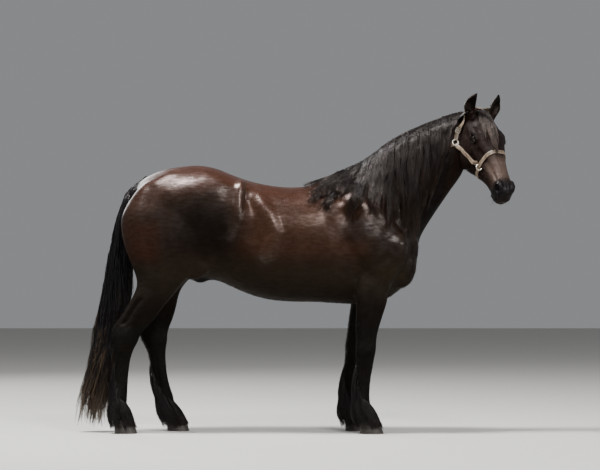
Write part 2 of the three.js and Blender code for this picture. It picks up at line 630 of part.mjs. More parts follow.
// The tail's dock, and the room that its hair fills: level, middle, depth, width
const TAIL = [
  [1556, -890, 40, 0, 40], [1520, -930, 84, 0, 64], [1458, -988, 92, 0, 84], [1391, -1014, 94, 0, 94],
  [1324, -1033, 96, 0, 104], [1250, -1045, 110, 0, 120], [1110, -1055, 131, 0, 136],
  [946, -1071, 153, 0, 146], [848, -1082, 168, 0, 152], [659, -1117, 173, 0, 156],
  [506, -1155, 170, 0, 158], [354, -1178, 190, 0, 162], [189, -1210, 232, 0, 166],
  [110, -1222, 236, 0, 168], [30, -1228, 236, 0, 168],
];
const TAIL_LOCKS = 12;
const TAIL_WIDTH = 104;
const TAIL_THICK = 30;
const TAIL_TIP_Z = [40, 300]; // the lowest and the highest tips
const TAIL_CORE_Z = 740; // how far down the tail is solid
function tail() {
  const chance = seeded(23);
  const core = legLoft(
    TAIL.filter(([z]) => z > TAIL_CORE_Z).map(([z, x, depth, y, width]) => {
      const slim = 1 - 0.3 * THREE.MathUtils.clamp((1500 - z) / 600, 0, 1);
      return [z, x, depth * slim, y, width * slim, 2];
    }),
    1,
    12,
    [10, 60],
  );
  const form = [[0, 0.5, 0.6], [0.16, 0.95, 1], [0.6, 1, 1], [0.84, 0.6, 0.7], [1, 0.08, 0.15]];
  const locks = Array.from({ length: TAIL_LOCKS }, (_, i) => {
    const angle = i * 2.4 + 0.4 * chance();
    const spread = 0.5 + 0.42 * Math.sqrt((i + 0.5) / TAIL_LOCKS);
    const root = 1470 - 560 * ((i * 0.618) % 1);
    const [low, high] = TAIL_TIP_Z;
    const tip = low + (high - low) * chance() ** 1.6;
    const [wave, turn] = [5 + 8 * chance(), 6.3 * chance()];
    const path = (t) => {
      const z = root + (tip - root) * t;
      const [, x, depth, y, width] = rowAt(TAIL, 0, Math.max(z, 31));
      const part = (0.45 + (spread - 0.45) * Math.min(t / 0.25, 1)) * (t > 0.8 ? 1 - 0.25 * (t - 0.8) : 1);
      return vec(
        x + (part * Math.cos(angle) * (depth - TAIL_THICK)) / 2 + wave * t * Math.sin(6 * t + turn),
        y + (part * Math.sin(angle) * (width - TAIL_THICK)) / 2 + wave * t * Math.cos(5 * t + turn),
        z,
      );
    };
    return lock(path, () => vec(Math.cos(angle), Math.sin(angle), 0), TAIL_WIDTH * (0.75 + 0.4 * chance()), TAIL_THICK, form);
  });
  return join(core, locks);
}

// Feather: locks that grow from the back and the sides of a fetlock and hang over the hoof
const FEATHER_LOCKS = 5;
const FEATHER_FORM = [[0, 0.6, 0.8], [0.25, 1, 1], [0.65, 0.8, 0.8], [1, 0.12, 0.2]];
function feather(leg, index) {
  const chance = seeded(41 + index);
  const [fx, fy] = leg.foot;
  return Array.from({ length: FEATHER_LOCKS }, (_, i) => {
    const level = i % 2;
    const round = Math.PI + ((i + 0.5) / FEATHER_LOCKS - 0.5) * 3.9; // angle about the leg, pi at its back
    const top = 262 - 50 * level + 14 * chance();
    const [, x, depth, y, width] = rowAt(leg.rows, 0, top);
    const back = Math.max(0, -Math.cos(round));
    const drop = (top - 42 - 26 * chance()) * (0.62 + 0.38 * back);
    const path = (t) => {
      const z = top - drop * t;
      const here = rowAt(leg.rows, 0, Math.max(z, 61));
      const low = THREE.MathUtils.clamp((170 - z) / 110, 0, 1);
      const [rx, ry] = [depth / 2 - 9 + (34 + 8 * back) * t ** 0.7 + 16 * low, width / 2 - 9 + 30 * t ** 0.7 + 15 * low];
      const mid = THREE.MathUtils.lerp(x, Math.min(here[1], fx + 4), t);
      return vec(mid + rx * Math.cos(round) - 6 * back * t, fy + (y - fy) + ry * Math.sin(round), z);
    };
    return lock(path, () => vec(Math.cos(round), Math.sin(round), 0.1), 78, 18, FEATHER_FORM);
  });
}

const bodyRoom = join(body(GAP), neckFlesh(GAP)).intersect(
  side(BASE_CUT.at.clone().addScaledVector(BASE_CUT.normal, GAP), BASE_CUT.normal.clone().negate()),
);
const headRoom = side(HEAD_CUT.at.clone().addScaledVector(HEAD_CUT.normal, -GAP), HEAD_CUT.normal);
add("head", join(neckAll, onHead(headSolid), onHead(join(forelock()))).intersect(headSide), COAT);
add("neck", neckBody.intersect(neckSide).add(join(mane()).subtract(bodyRoom).subtract(headRoom)), COAT);
add("tail", tail().subtract(body(GAP)), HAIR);

// Legs, parted from the torso at the stifle and the elbow, and from the pasterns below the cannons' middle
let torso = join(neckAll, bodyAll).intersect(bodySide);
LEGS.forEach((leg, index) => {
  const column = legLoft(leg.rows, 1, 12, [20, 0]);
  const [fx, fy] = leg.foot;
  const hoofRows = HOOF.map(([z, ahead, depth, width, square]) => [
    z, fx + ahead * leg.size, depth * leg.size, fy, width * leg.size, square,
  ]);
  const coronet = vec(fx, fy, CORONET_Z);
  const slope = vec(-CORONET_SLOPE, 0, 1);
  const hoof = legLoft(hoofRows, 1, 16, [0, 0]).intersect(side(coronet, slope.clone().negate()));
  const hoofRoom = legLoft(hoofRows.map(([z, ...rest]) => [z === 0 ? -5 : z, ...rest]), 1, 16, [0, 0], 2);
  const pastern = column
    .add(join(feather(leg, index)).subtract(hoofRoom))
    .intersect(side(vec(0, 0, KNIT_Z), vec(0, 0, -1)))
    .subtract(hoofRoom.intersect(side(coronet.clone().addScaledVector(slope, GAP), slope.clone().negate())));
  add(`hoof_${leg.name}`, hoof, HORN);
  add(`pastern_${leg.name}`, pastern, COAT);
  const upper = column
    .intersect(side(vec(0, 0, leg.top), vec(0, 0, -1)))
    .intersect(side(vec(0, 0, KNIT_Z), Z_AXIS));
  add(`leg_${leg.name}`, upper, COAT);
  const legRoom = side(vec(0, 0, leg.top), vec(0, 0, -1)).intersect(
    solid(new THREE.BoxGeometry(900, 400, 4000), new THREE.Matrix4().makeTranslation(fx, Math.sign(fy) * 200, 0)),
  );
  torso = torso.subtract(legRoom.intersect(legLoft(leg.rows, 1, 12, [20, 0], GAP)));
  torso = torso.subtract(side(vec(0, 0, 780), vec(0, 0, -1)));
});
add("torso", torso, COAT);

export default model;
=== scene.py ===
"""A life-size Friesian horse, standing in a halter with its head turned to its right.

One skin covers the flesh. Eyes, hooves, halter, mane, forelock, tail, feather and the short tufts of the coat are
pieces of their own. Tables and strokes are in millimetres in the horse's own frame, whose y is measured from its
median plane, with +X forwards and -Y its right side. What is built is in metres, in the frame of the solids.
"""

from __future__ import annotations

import json
import logging
import math
import sys
from contextlib import contextmanager
from dataclasses import dataclass, field
from enum import Enum
from typing import Callable, Iterator, Optional, Sequence, Union

import bpy
import numpy as np
from mathutils import Euler, Matrix, Vector
from mathutils.bvhtree import BVHTree

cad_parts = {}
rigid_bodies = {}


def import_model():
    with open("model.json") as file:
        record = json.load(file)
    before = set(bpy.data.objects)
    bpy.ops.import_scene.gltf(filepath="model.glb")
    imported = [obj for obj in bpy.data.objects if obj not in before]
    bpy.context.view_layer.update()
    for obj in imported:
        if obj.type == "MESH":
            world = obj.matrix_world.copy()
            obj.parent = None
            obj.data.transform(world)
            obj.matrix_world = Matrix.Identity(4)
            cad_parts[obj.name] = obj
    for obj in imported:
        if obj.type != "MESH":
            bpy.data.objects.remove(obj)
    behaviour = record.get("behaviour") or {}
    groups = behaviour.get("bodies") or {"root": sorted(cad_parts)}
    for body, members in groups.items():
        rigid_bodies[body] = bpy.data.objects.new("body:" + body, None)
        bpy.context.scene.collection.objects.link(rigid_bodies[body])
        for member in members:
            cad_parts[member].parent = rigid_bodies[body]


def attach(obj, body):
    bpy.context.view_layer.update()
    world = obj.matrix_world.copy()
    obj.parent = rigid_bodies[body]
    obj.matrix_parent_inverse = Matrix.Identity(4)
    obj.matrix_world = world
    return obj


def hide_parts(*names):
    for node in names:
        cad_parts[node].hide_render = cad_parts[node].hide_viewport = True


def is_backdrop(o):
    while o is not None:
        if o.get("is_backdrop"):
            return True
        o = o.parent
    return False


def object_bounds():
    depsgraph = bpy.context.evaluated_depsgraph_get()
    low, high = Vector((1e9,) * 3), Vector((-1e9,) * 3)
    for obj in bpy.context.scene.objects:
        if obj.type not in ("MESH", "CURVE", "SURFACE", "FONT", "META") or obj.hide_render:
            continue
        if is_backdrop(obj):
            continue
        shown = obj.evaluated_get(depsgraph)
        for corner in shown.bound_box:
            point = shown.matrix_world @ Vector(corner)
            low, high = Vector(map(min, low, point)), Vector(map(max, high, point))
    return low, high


LOG = logging.getLogger("horse")

MM = 0.001
MEDIAN_Y = 74.0  # the horse's median plane, in the frame of the solids

Array = np.ndarray
Rows = Sequence[Sequence[float]]
Point = tuple[float, float, float]

FORWARDS, SIDEWAYS, UPWARDS = (1, 0, 0), (0, 1, 0), (0, 0, 1)


class Side(Enum):
    """The horse's two sides."""

    RIGHT = -1
    LEFT = 1


class Look(Enum):
    """From where a sculptor's stroke is aimed, which leaves one coordinate free."""

    SIDE = (0, 2)
    TOP = (0, 1)
    FRONT = (1, 2)
    ROUND = (0, 1, 2)


# ---------------------------------------------------------------- numbers


def between(rows: Array, u: Array) -> Array:
    """Reads smooth values between rows of numbers.

    Args:
        rows: One row of numbers for each station.
        u: Places counted in rows.

    Returns:
        One row of numbers for each place.
    """
    u = np.clip(u, 0, len(rows) - 1)
    i = np.minimum(u.astype(int), len(rows) - 2)
    t = (u - i)[:, None]
    p, q = rows[np.maximum(i - 1, 0)], rows[i]
    r, s = rows[i + 1], rows[np.minimum(i + 2, len(rows) - 1)]
    return q + 0.5 * t * (r - p + t * (2 * p - 5 * q + 4 * r - s + t * (3 * (q - r) + s - p)))


def row_at(rows: Array, values: Array, column: int = 0) -> Array:
    """Reads rows at given values of a column that only rises or only falls."""
    key = rows[:, column]
    order = slice(None) if key[-1] > key[0] else slice(None, None, -1)
    u = np.interp(values, key[order], np.arange(len(rows), dtype=float)[order])
    return between(rows, u)


def ease(value: Array, low: float, high: float) -> Array:
    """Rises smoothly from 0 at low to 1 at high, or falls where high is the lower one."""
    t = np.clip((np.asarray(value, float) - low) / (high - low), 0, 1)
    return t * t * (3 - 2 * t)


def unit(vectors: Array) -> Array:
    """Makes each vector one long."""
    return vectors / np.maximum(np.linalg.norm(vectors, axis=-1, keepdims=True), 1e-9)


def power(value: Array, square: Array) -> Array:
    """Squares a round section off, by its squareness."""
    return np.sign(value) * np.abs(value) ** (2 / square)


# ---------------------------------------------------------------- meshes


def deselect() -> None:
    """Leaves nothing selected."""
    bpy.ops.object.select_all(action="DESELECT")


def choose(*pieces: bpy.types.Object) -> None:
    """Selects these pieces alone, the first one active."""
    deselect()
    for piece in pieces:
        piece.select_set(True)
    bpy.context.view_layer.objects.active = pieces[0]


def read_all(items: bpy.types.bpy_prop_collection, name: str, width: int, kind: type = np.float32) -> Array:
    """Reads a property of all items, as rows of so many numbers."""
    out = np.empty(len(items) * width, kind)
    items.foreach_get(name, out)
    return out.reshape(-1, width)


@contextmanager
def editing(piece: bpy.types.Object) -> Iterator[None]:
    """Opens a piece for editing with all of it selected, and closes it after."""
    choose(piece)
    bpy.ops.object.mode_set(mode="EDIT")
    bpy.ops.mesh.select_all(action="SELECT")
    yield
    bpy.ops.object.mode_set(mode="OBJECT")


def face_out(piece: bpy.types.Object) -> None:
    """Turns a piece's normals outwards."""
    with editing(piece):
        bpy.ops.mesh.normals_make_consistent(inside=False)


def points_of(piece: bpy.types.Object) -> Array:
    """Returns a piece's vertices, in its own units."""
    return read_all(piece.data.vertices, "co", 3, float)


def move_points(piece: bpy.types.Object, at: Array) -> None:
    """Puts a piece's vertices in new places."""
    piece.data.vertices.foreach_set("co", np.ascontiguousarray(at, np.float32).ravel())
    piece.data.update()


def normals_of(piece: bpy.types.Object) -> Array:
    """Returns the normals at a piece's vertices."""
    return read_all(piece.data.vertex_normals, "vector", 3).astype(float)


def edges_of(piece: bpy.types.Object) -> Array:
    """Returns a piece's edges as pairs of vertex numbers."""
    return read_all(piece.data.edges, "vertices", 2, np.int32)


def tiled(direction: Point, count: int) -> Array:
    """Returns a direction once for each of so many places."""
    return np.tile(np.array(direction, float), (count, 1))


def to_scene(at: Array) -> Array:
    """Turns millimetres from the median plane into metres in the frame of the solids."""
    return (np.asarray(at, float) + (0, MEDIAN_Y, 0)) * MM


def to_horse(at: Array) -> Array:
    """Turns metres in the frame of the solids into millimetres from the median plane."""
    return np.asarray(at, float) / MM - (0, MEDIAN_Y, 0)


def apply_modifier(piece: bpy.types.Object, kind: str, **settings: object) -> None:
    """Adds a modifier to a piece with its settings, and applies it."""
    choose(piece)
    modifier = piece.modifiers.new(kind.title(), kind)
    for name, value in settings.items():
        setattr(modifier, name, value)
    bpy.ops.object.modifier_apply(modifier=modifier.name)


def joined(pieces: Sequence[bpy.types.Object], name: str) -> bpy.types.Object:
    """Joins pieces into the first of them, under a new name."""
    choose(*pieces)
    bpy.ops.object.join()
    piece = bpy.context.object
    piece.name = piece.data.name = name
    return piece


def remesh(piece: bpy.types.Object, size: float) -> None:
    """Fuses all that a piece holds into one even surface.

    Args:
        piece: The piece, whose parts may run through each other.
        size: The length of a face's side, in millimetres.
    """
    choose(piece)
    piece.data.remesh_voxel_size = size * MM
    piece.data.remesh_voxel_adaptivity = 0
    bpy.ops.object.voxel_remesh()


def relax(at: Array, edges: Array, passes: int, weight: Union[float, Array] = 0.5, back: float = 0.0) -> Array:
    """Smooths a surface by drawing each vertex towards the middle of its neighbours.

    Args:
        at: The vertices.
        edges: The edges, as pairs of vertex numbers.
        passes: How many times.
        weight: How far each vertex goes, as a part of the way.
        back: How much of each move is taken back, so that slim forms don't shrink.

    Returns:
        The new vertices.
    """
    a, b = edges.T
    count = len(at)
    degree = np.maximum(np.bincount(a, minlength=count) + np.bincount(b, minlength=count), 1)[:, None]
    weight = np.broadcast_to(np.asarray(weight, float).reshape(-1, 1), (count, 1))
    for _ in range(passes):
        for part in (1.0, -back) if back else (1.0,):
            total = np.stack(
                [np.bincount(a, at[b, k], count) + np.bincount(b, at[a, k], count) for k in range(3)], axis=1
            )
            at = at + part * weight * (total / degree - at)
    return at


def turn_of(turn: Point) -> Matrix:
    """Returns the matrix of three turns in degrees, about X, then Y, then Z."""
    return Euler([math.radians(a) for a in turn], "XYZ").to_matrix().to_4x4()


@dataclass(frozen=True)
class Egg:
    """A rounded mass of flesh.

    Attributes:
        at: Its middle.
        radii: Its three radii.
        turn: Its turns about X, Y and Z in degrees.
    """

    at: Point
    radii: Point
    turn: Point = (0, 0, 0)

    def build(self, frame: Matrix, sides: int = 32) -> bpy.types.Object:
        """Models the mass in a frame that takes its millimetres to the scene."""
        bpy.ops.mesh.primitive_uv_sphere_add(segments=sides, ring_count=sides // 2, radius=1)
        piece = bpy.context.object
        place = frame @ Matrix.Translation(self.at) @ turn_of(self.turn)
        piece.matrix_world = place @ Matrix.Diagonal((*self.radii, 1))
        bpy.ops.object.transform_apply(location=True, rotation=True, scale=True)
        return piece

    def mirrored(self) -> "Egg":
        """Returns its mirror image on the other side."""
        x, y, z = self.at
        a, b, c = self.turn
        return Egg((x, -y, z), self.radii, (-a, b, -c))


@dataclass(frozen=True)
class Section:
    """The sections of a loft, one row for each vertex: middle, directions, reaches each way, squareness."""

    centre: Array
    wide: Array
    high: Array
    out: Array
    up: Array
    down: Array
    square_up: Array
    square_down: Array


def loft(
    count: int,
    per_row: int,
    sides: int,
    section: Callable[[Array], Section],
    frame: Matrix,
    bulge: tuple[float, float] = (0, 0),
) -> bpy.types.Object:
    """Models a closed form through sections, from a sphere whose rings become the sections.

    Args:
        count: How many sections the form is drawn through.
        per_row: Rings from one section to the next.
        sides: Vertices in a ring.
        section: Gives the sections at places counted in rows.
        frame: Takes the form's millimetres to the scene.
        bulge: How far each end stands out.

    Returns:
        The new piece.
    """
    rings = (count - 1) * per_row + 2
    bpy.ops.mesh.primitive_uv_sphere_add(segments=sides, ring_count=rings, radius=1)
    piece = bpy.context.object
    ball = points_of(piece)
    ring = np.rint(np.arccos(np.clip(ball[:, 2], -1, 1)) / np.pi * rings)
    angle = np.arctan2(ball[:, 1], ball[:, 0])
    u = np.clip((ring - 1) / per_row, 0, count - 1)
    s = section(u)
    c, h = np.cos(angle), np.sin(angle)
    square = np.where(h > 0, s.square_up, s.square_down)
    at = s.centre + (power(c, square) * s.out)[:, None] * s.wide
    at += (power(h, square) * np.where(h > 0, s.up, s.down))[:, None] * s.high
    for pole, inner, reach in ((0, 0.1, bulge[0]), (rings, count - 1.1, bulge[1])):
        here = ring == pole
        lead = unit(s.centre[here] - section(np.array([inner])).centre)
        at[here] = s.centre[here] + reach * lead
    at = np.c_[at, np.ones(len(at))] @ np.array(frame).T
    move_points(piece, at[:, :3])
    face_out(piece)
    return piece


HORSE = Matrix.Translation((0, MEDIAN_Y * MM, 0)) @ Matrix.Scale(MM, 4)


# ---------------------------------------------------------------- anatomy


@dataclass(frozen=True)
class Leg:
    """One leg.

    Attributes:
        name: Its name.
        side: The side it stands on.
        levels: Rows of level, depth from front to back, width, squareness and distance from the median plane.
        ahead: How far forwards its middle lies at each level.
        foot: The middle of its coronet, x and y.
        size: How large its hoof is beside a fore hoof.
    """

    name: str
    side: Side
    levels: Rows
    ahead: Sequence[float]
    foot: tuple[float, float]
    size: float

    def rows(self) -> Array:
        """Returns rows of level, x, depth, y, width and squareness."""
        table = np.array(self.levels, float)
        y = self.side.value * table[:, 4]
        return np.stack([table[:, 0], self.ahead, table[:, 1], y, table[:, 2], table[:, 3]], axis=1)

    def section(self, u: Array) -> Section:
        """Returns its level sections."""
        z, x, depth, y, width, square = between(self.rows(), u).T
        across, along = tiled(SIDEWAYS, len(u)), tiled(FORWARDS, len(u))
        return Section(np.stack([x, y, z], 1), across, along, width / 2, depth / 2, depth / 2, square, square)

    def build(self) -> bpy.types.Object:
        """Models the leg from inside the trunk down into the hoof."""
        return loft(len(self.levels), 4, 40, self.section, HORSE, (20, 0))


HIND_LEVELS = (
    (1570, 210, 120, 2, 96), (1500, 380, 178, 2, 108), (1400, 500, 222, 2.05, 124), (1300, 560, 246, 2.1, 146),
    (1200, 540, 252, 2.1, 154), (1100, 476, 230, 2.1, 156), (1010, 392, 196, 2.1, 154), (916, 288, 158, 2.1, 150),
    (850, 250, 136, 2.1, 147), (760, 220, 112, 2, 142), (690, 214, 92, 2, 139), (645, 206, 84, 2.1, 137),
    (600, 174, 94, 2.2, 136), (555, 150, 92, 2.2, 135), (500, 114, 76, 2.1, 134), (440, 96, 66, 2.1, 133),
    (360, 86, 60, 2.1, 132), (285, 87, 64, 2.1, 132), (215, 100, 82, 2.1, 134), (180, 100, 83, 2.1, 135),
    (140, 80, 70, 2.1, 136), (104, 94, 92, 2.1, 137), (60, 108, 106, 2.1, 137),
)  # fmt: skip
FORE_LEVELS = (
    (1500, 130, 100, 2, 70), (1430, 220, 150, 2, 104), (1350, 290, 184, 2, 130), (1260, 340, 206, 2.05, 150),
    (1170, 366, 214, 2.1, 160), (1090, 360, 206, 2.1, 163), (1010, 310, 180, 2.1, 160), (940, 256, 152, 2.1, 158),
    (870, 216, 138, 2.1, 157), (797, 190, 124, 2.1, 156), (722, 164, 112, 2.1, 155), (621, 134, 96, 2.1, 153),
    (560, 118, 92, 2.2, 152), (500, 118, 106, 2.4, 152), (450, 108, 98, 2.3, 151), (389, 94, 74, 2.1, 150),
    (326, 90, 68, 2.1, 150), (250, 90, 70, 2.1, 150), (205, 102, 86, 2.1, 150), (170, 101, 85, 2.1, 150),
    (135, 82, 72, 2.1, 150), (104, 98, 98, 2.1, 150), (60, 114, 112, 2.1, 150),
)  # fmt: skip
HIND_RIGHT_X = (
    -700, -735, -752, -765, -770, -777, -783, -806, -842, -905, -953, -992,
    -1015, -1021, -1031, -1040, -1046, -1051, -1061, -1063, -1052, -1041, -1034,
)  # fmt: skip
HIND_LEFT_X = (
    -700, -730, -745, -752, -752, -755, -766, -806, -830, -838, -856, -870,
    -867, -858, -848, -840, -828, -813, -797, -789, -767, -745, -727,
)  # fmt: skip
FORE_RIGHT_X = (
    350, 378, 408, 444, 488, 508, 500, 478, 464, 466, 455, 439, 437, 433, 428, 425, 415, 410, 404, 411, 430, 444, 452,
)  # fmt: skip
FORE_LEFT_X = (
    350, 378, 408, 444, 488, 506, 492, 464, 448, 444, 422, 397, 383, 379, 371, 355, 342, 332, 326, 330, 346, 360, 368,
)  # fmt: skip
LEGS = (
    Leg("hind_right", Side.RIGHT, HIND_LEVELS, HIND_RIGHT_X, (-1030, -137), 0.95),
    Leg("hind_left", Side.LEFT, HIND_LEVELS, HIND_LEFT_X, (-727, 137), 0.95),
    Leg("fore_right", Side.RIGHT, FORE_LEVELS, FORE_RIGHT_X, (454, -150), 1.0),
    Leg("fore_left", Side.LEFT, FORE_LEVELS, FORE_LEFT_X, (372, 150), 1.0),
)


@dataclass(frozen=True)
class Trunk:
    """The trunk, in rows of x, top, level of the widest place, bottom, half width, squareness above and below."""

    rows: Rows = (
        (-985, 1440, 1330, 1150, 60, 2, 2), (-950, 1512, 1340, 1060, 130, 2, 2), (-890, 1562, 1350, 985, 195, 2, 2),
        (-800, 1600, 1350, 950, 240, 2, 2), (-690, 1620, 1350, 935, 262, 2.05, 2), (-578, 1627, 1350, 930, 272, 2.1, 2),
        (-470, 1606, 1345, 925, 278, 2.25, 2), (-385, 1571, 1310, 890, 282, 2.35, 2.05),
        (-270, 1532, 1210, 842, 276, 2.2, 2.2), (-150, 1506, 1160, 810, 292, 2.15, 2.2),
        (-20, 1494, 1145, 798, 300, 2.1, 2.15), (100, 1508, 1150, 797, 296, 1.95, 2.1),
        (190, 1552, 1155, 792, 284, 1.75, 2.1), (275, 1588, 1155, 787, 268, 1.55, 2.1),
        (360, 1560, 1150, 783, 252, 1.55, 2.1), (450, 1500, 1140, 786, 236, 1.7, 2.1),
        (540, 1420, 1120, 805, 214, 1.9, 2.1), (620, 1330, 1095, 850, 186, 2, 2.1),
        (690, 1240, 1070, 915, 142, 2, 2), (726, 1170, 1060, 965, 88, 2, 2),
    )  # fmt: skip

    def section(self, u: Array) -> Section:
        """Returns its upright sections."""
        x, top, level, bottom, half, square_up, square_down = between(np.array(self.rows, float), u).T
        across, up = tiled(SIDEWAYS, len(u)), tiled(UPWARDS, len(u))
        centre = np.stack([x, np.zeros_like(x), level], 1)
        return Section(centre, across, up, half, top - level, level - bottom, square_up, square_down)

    def build(self, frame: Matrix = HORSE, bulge: tuple[float, float] = (25, 24), per_row: int = 4) -> bpy.types.Object:
        """Models the form in a frame."""
        return loft(len(self.rows), per_row, 64, self.section, frame, bulge)


@dataclass(frozen=True)
class Neck:
    """The neck, in rows of crest x and z, underside x and z, middle y, half width, squareness above and below."""

    rows: Rows = (
        (262, 1570, 690, 930, 0, 205, 1.5, 2.1), (372, 1618, 735, 1075, 0, 176, 1.55, 2.1),
        (462, 1668, 772, 1195, 0, 148, 1.6, 2.1), (556, 1742, 842, 1312, -2, 122, 1.6, 2.1),
        (660, 1806, 905, 1405, -4, 106, 1.65, 2.1), (772, 1856, 962, 1488, -6, 96, 1.7, 2.1),
        (876, 1897, 1012, 1560, -8, 90, 1.75, 2.1), (972, 1930, 1052, 1628, -8, 86, 1.8, 2.1),
        (1050, 1944, 1085, 1690, -6, 76, 1.9, 2.1),
    )  # fmt: skip
    level: float = 0.42  # how far up its depth it is widest

    def section(self, u: Array) -> Section:
        """Returns its sections across its length."""
        crest_x, crest_z, under_x, under_z, y, half, square_up, square_down = between(np.array(self.rows, float), u).T
        crest, under = np.stack([crest_x, y, crest_z], 1), np.stack([under_x, y, under_z], 1)
        depth = np.linalg.norm(crest - under, axis=1)
        centre = under + self.level * (crest - under)
        across = tiled(SIDEWAYS, len(u))
        return Section(
            centre, across, unit(crest - under), half, depth * (1 - self.level), depth * self.level,
            square_up, square_down,
        )  # fmt: skip

    def crest(self, u: Array) -> Array:
        """Returns points on its crest, at places counted in rows."""
        row = between(np.array(self.rows, float), u)
        return row[:, [0, 4, 1]]

    def build(self) -> bpy.types.Object:
        """Models the neck from inside the trunk into the head."""
        return loft(len(self.rows), 6, 56, self.section, HORSE)


@dataclass(frozen=True)
class Head:
    """The head, in its own frame: x runs from the poll down the face and z out of the forehead."""

    rows: Rows = (
        (-62, -40, -115, -185, 58, 2, 2), (-15, -8, -108, -222, 72, 2, 2), (40, 5, -95, -252, 84, 2.2, 2.2),
        (100, 14, -85, -278, 93, 2.4, 2.2), (160, 19, -72, -294, 98, 2.6, 2.2), (215, 18, -64, -289, 99, 2.7, 2.2),
        (270, 10, -64, -268, 86, 2.7, 2.2), (330, 2, -72, -238, 71, 2.6, 2.3), (395, -8, -85, -207, 58, 2.4, 2.4),
        (455, -17, -95, -184, 51, 2.3, 2.5), (510, -27, -100, -171, 52, 2.3, 2.6), (555, -38, -102, -167, 55, 2.3, 2.6),
        (590, -54, -108, -166, 51, 2.3, 2.5), (612, -76, -115, -156, 38, 2.2, 2.2),
    )  # fmt: skip
    drawn: float = 612  # the length that the table draws
    length: float = 636  # from the poll to the lips
    pitch: float = 48.5  # degrees that the face points below the level
    yaw: float = 67.5  # degrees that it turns to the right
    tilt: float = -7.0  # degrees that it leans over its own length
    poll: Point = (1132, -90, 1962)
    eye: Point = (208, 84, -48)
    eye_radius: float = 24
    ear_foot: Point = (38, 68, -40)
    ear_length: float = 170
    ear_bow: float = 15
    ear_wall: float = 5.5
    ear_rows: Rows = (
        (0, 22, 24), (0.22, 27, 28), (0.38, 31, 34), (0.55, 28, 32), (0.73, 19, 24), (0.88, 10, 13), (0.98, 4, 4),
    )  # fmt: skip

    def frame(self) -> Matrix:
        """Returns the matrix from the head's millimetres to the scene."""
        turn = Matrix.Rotation(math.radians(-self.yaw), 4, "Z") @ Matrix.Rotation(math.radians(self.pitch), 4, "Y")
        turn = turn @ Matrix.Rotation(math.radians(self.tilt), 4, "X")
        return HORSE @ Matrix.Translation(self.poll) @ turn @ Matrix.Scale(self.length / self.drawn, 4)

    def inside(self, at: Array) -> Array:
        """Turns points of the scene into the head's own millimetres."""
        back = np.array(self.frame().inverted())
        return np.c_[at, np.ones(len(at))] @ back[:3].T

    def outside(self, at: Array) -> Array:
        """Turns the head's own millimetres into points of the scene."""
        return np.c_[at, np.ones(len(at))] @ np.array(self.frame())[:3].T

    def turned(self, vectors: Array) -> Array:
        """Turns directions of the scene into the head's own."""
        return unit(vectors @ np.array(self.frame().to_3x3()))

    def heading(self, vector: Point) -> Array:
        """Turns a direction of the head's own into one of the scene."""
        return np.array((self.frame().to_3x3() @ Vector(vector)).normalized())

    def ear_axis(self, side: Side) -> Array:
        """Returns the direction in which an ear points."""
        return unit(np.array((-0.22, -0.22, 0.93) if side is Side.RIGHT else (-0.32, 0.06, 0.93)))

    def ear_leaf(self, side: Side, shrink: float, forward: float, start: float) -> bpy.types.Object:
        """Models the leaf of an ear, or the smaller one that hollows it."""
        axis = self.ear_axis(side)
        opening = unit(np.array((0.9, side.value * 0.25, 0.3)))
        across = unit(np.cross(axis, opening))
        front = unit(np.cross(across, axis))
        across = across if across[1] * side.value > 0 else -across
        rows = np.array(self.ear_rows, float)

        def section(u: Array) -> Section:
            """Returns the ear's sections across its axis."""
            t, deep, half = between(rows, u).T
            x, y, z = self.ear_foot
            centre = np.tile((x, side.value * y, z), (len(u), 1)).astype(float)
            centre += (start + t * (self.ear_length - start - shrink))[:, None] * axis
            centre += (forward - 10 * np.sin(np.pi * t))[:, None] * front
            centre += (self.ear_bow * (np.sin(np.pi * t) - t * t))[:, None] * across
            half, deep = np.maximum(half - shrink, 1.5), np.maximum(deep - shrink, 1.5)
            two = np.full(len(u), 2.0)
            return Section(centre, tiled(across, len(u)), tiled(front, len(u)), half, deep, deep, two, two)

        return loft(len(rows), 5, 32, section, self.frame(), (12, 5))

    def ear(self, side: Side) -> bpy.types.Object:
        """Models an ear, hollowed from in front."""
        leaf = self.ear_leaf(side, 0, 0, 0)
        carve_out(leaf, [self.ear_leaf(side, self.ear_wall, 17, 50)])
        return leaf

    def build(self) -> bpy.types.Object:
        """Models the head with its ears, ready to be fused."""
        frame = self.frame()
        skull = Trunk(self.rows).build(frame, (20, 12), 6)
        right = [
            Egg((170, -60, -178), (116, 34, 112), (0, -14, 0)),  # cheek
            Egg((36, -62, -40), (36, 30, 36)),  # foot of the ear
            Egg((196, -80, -34), (66, 28, 26), (0, 6, 6)),  # brow
            Egg((556, -40, -70), (42, 22, 32), (0, 20, 10)),  # rim of the nostril
            Egg((self.eye[0], 1.5 - self.eye[1], self.eye[2]), (37, 28.5, 29), (0, 12, 10)),  # lids
        ]
        middle = [
            Egg((594, 0, -116), (34, 48, 30), (0, 12, 0)),
            Egg((574, 0, -156), (40, 41, 20), (0, -4, 0)),
            Egg((540, 0, -168), (36, 34, 20)),
        ]
        masses = [egg.build(frame) for pair in right for egg in (pair, pair.mirrored())]
        masses += [egg.build(frame) for egg in middle]
        return joined([skull, *masses, *[self.ear(side) for side in Side]], "head_blockout")

    def cutters(self) -> list[bpy.types.Object]:
        """Models what is hollowed out of the head: jaw channel, eye openings, sockets and nostrils."""
        frame = self.frame()
        x, y, z = self.eye
        radius = self.eye_radius + 0.4
        right = [
            Egg((x, -(y + 26), z), (27.5, 22, 17.5), (0, 12, 10)),
            Egg((x, -y, z), (radius, radius, radius)),
            Egg((574, -56, -72), (26, 16, 15), (0, 52, 22)),
        ]
        middle = [Egg((245, 0, -312), (190, 32, 66), (0, -14, 0))]
        pairs = [egg for one in right for egg in (one, one.mirrored())]
        return [egg.build(frame) for egg in (*pairs, *middle)]


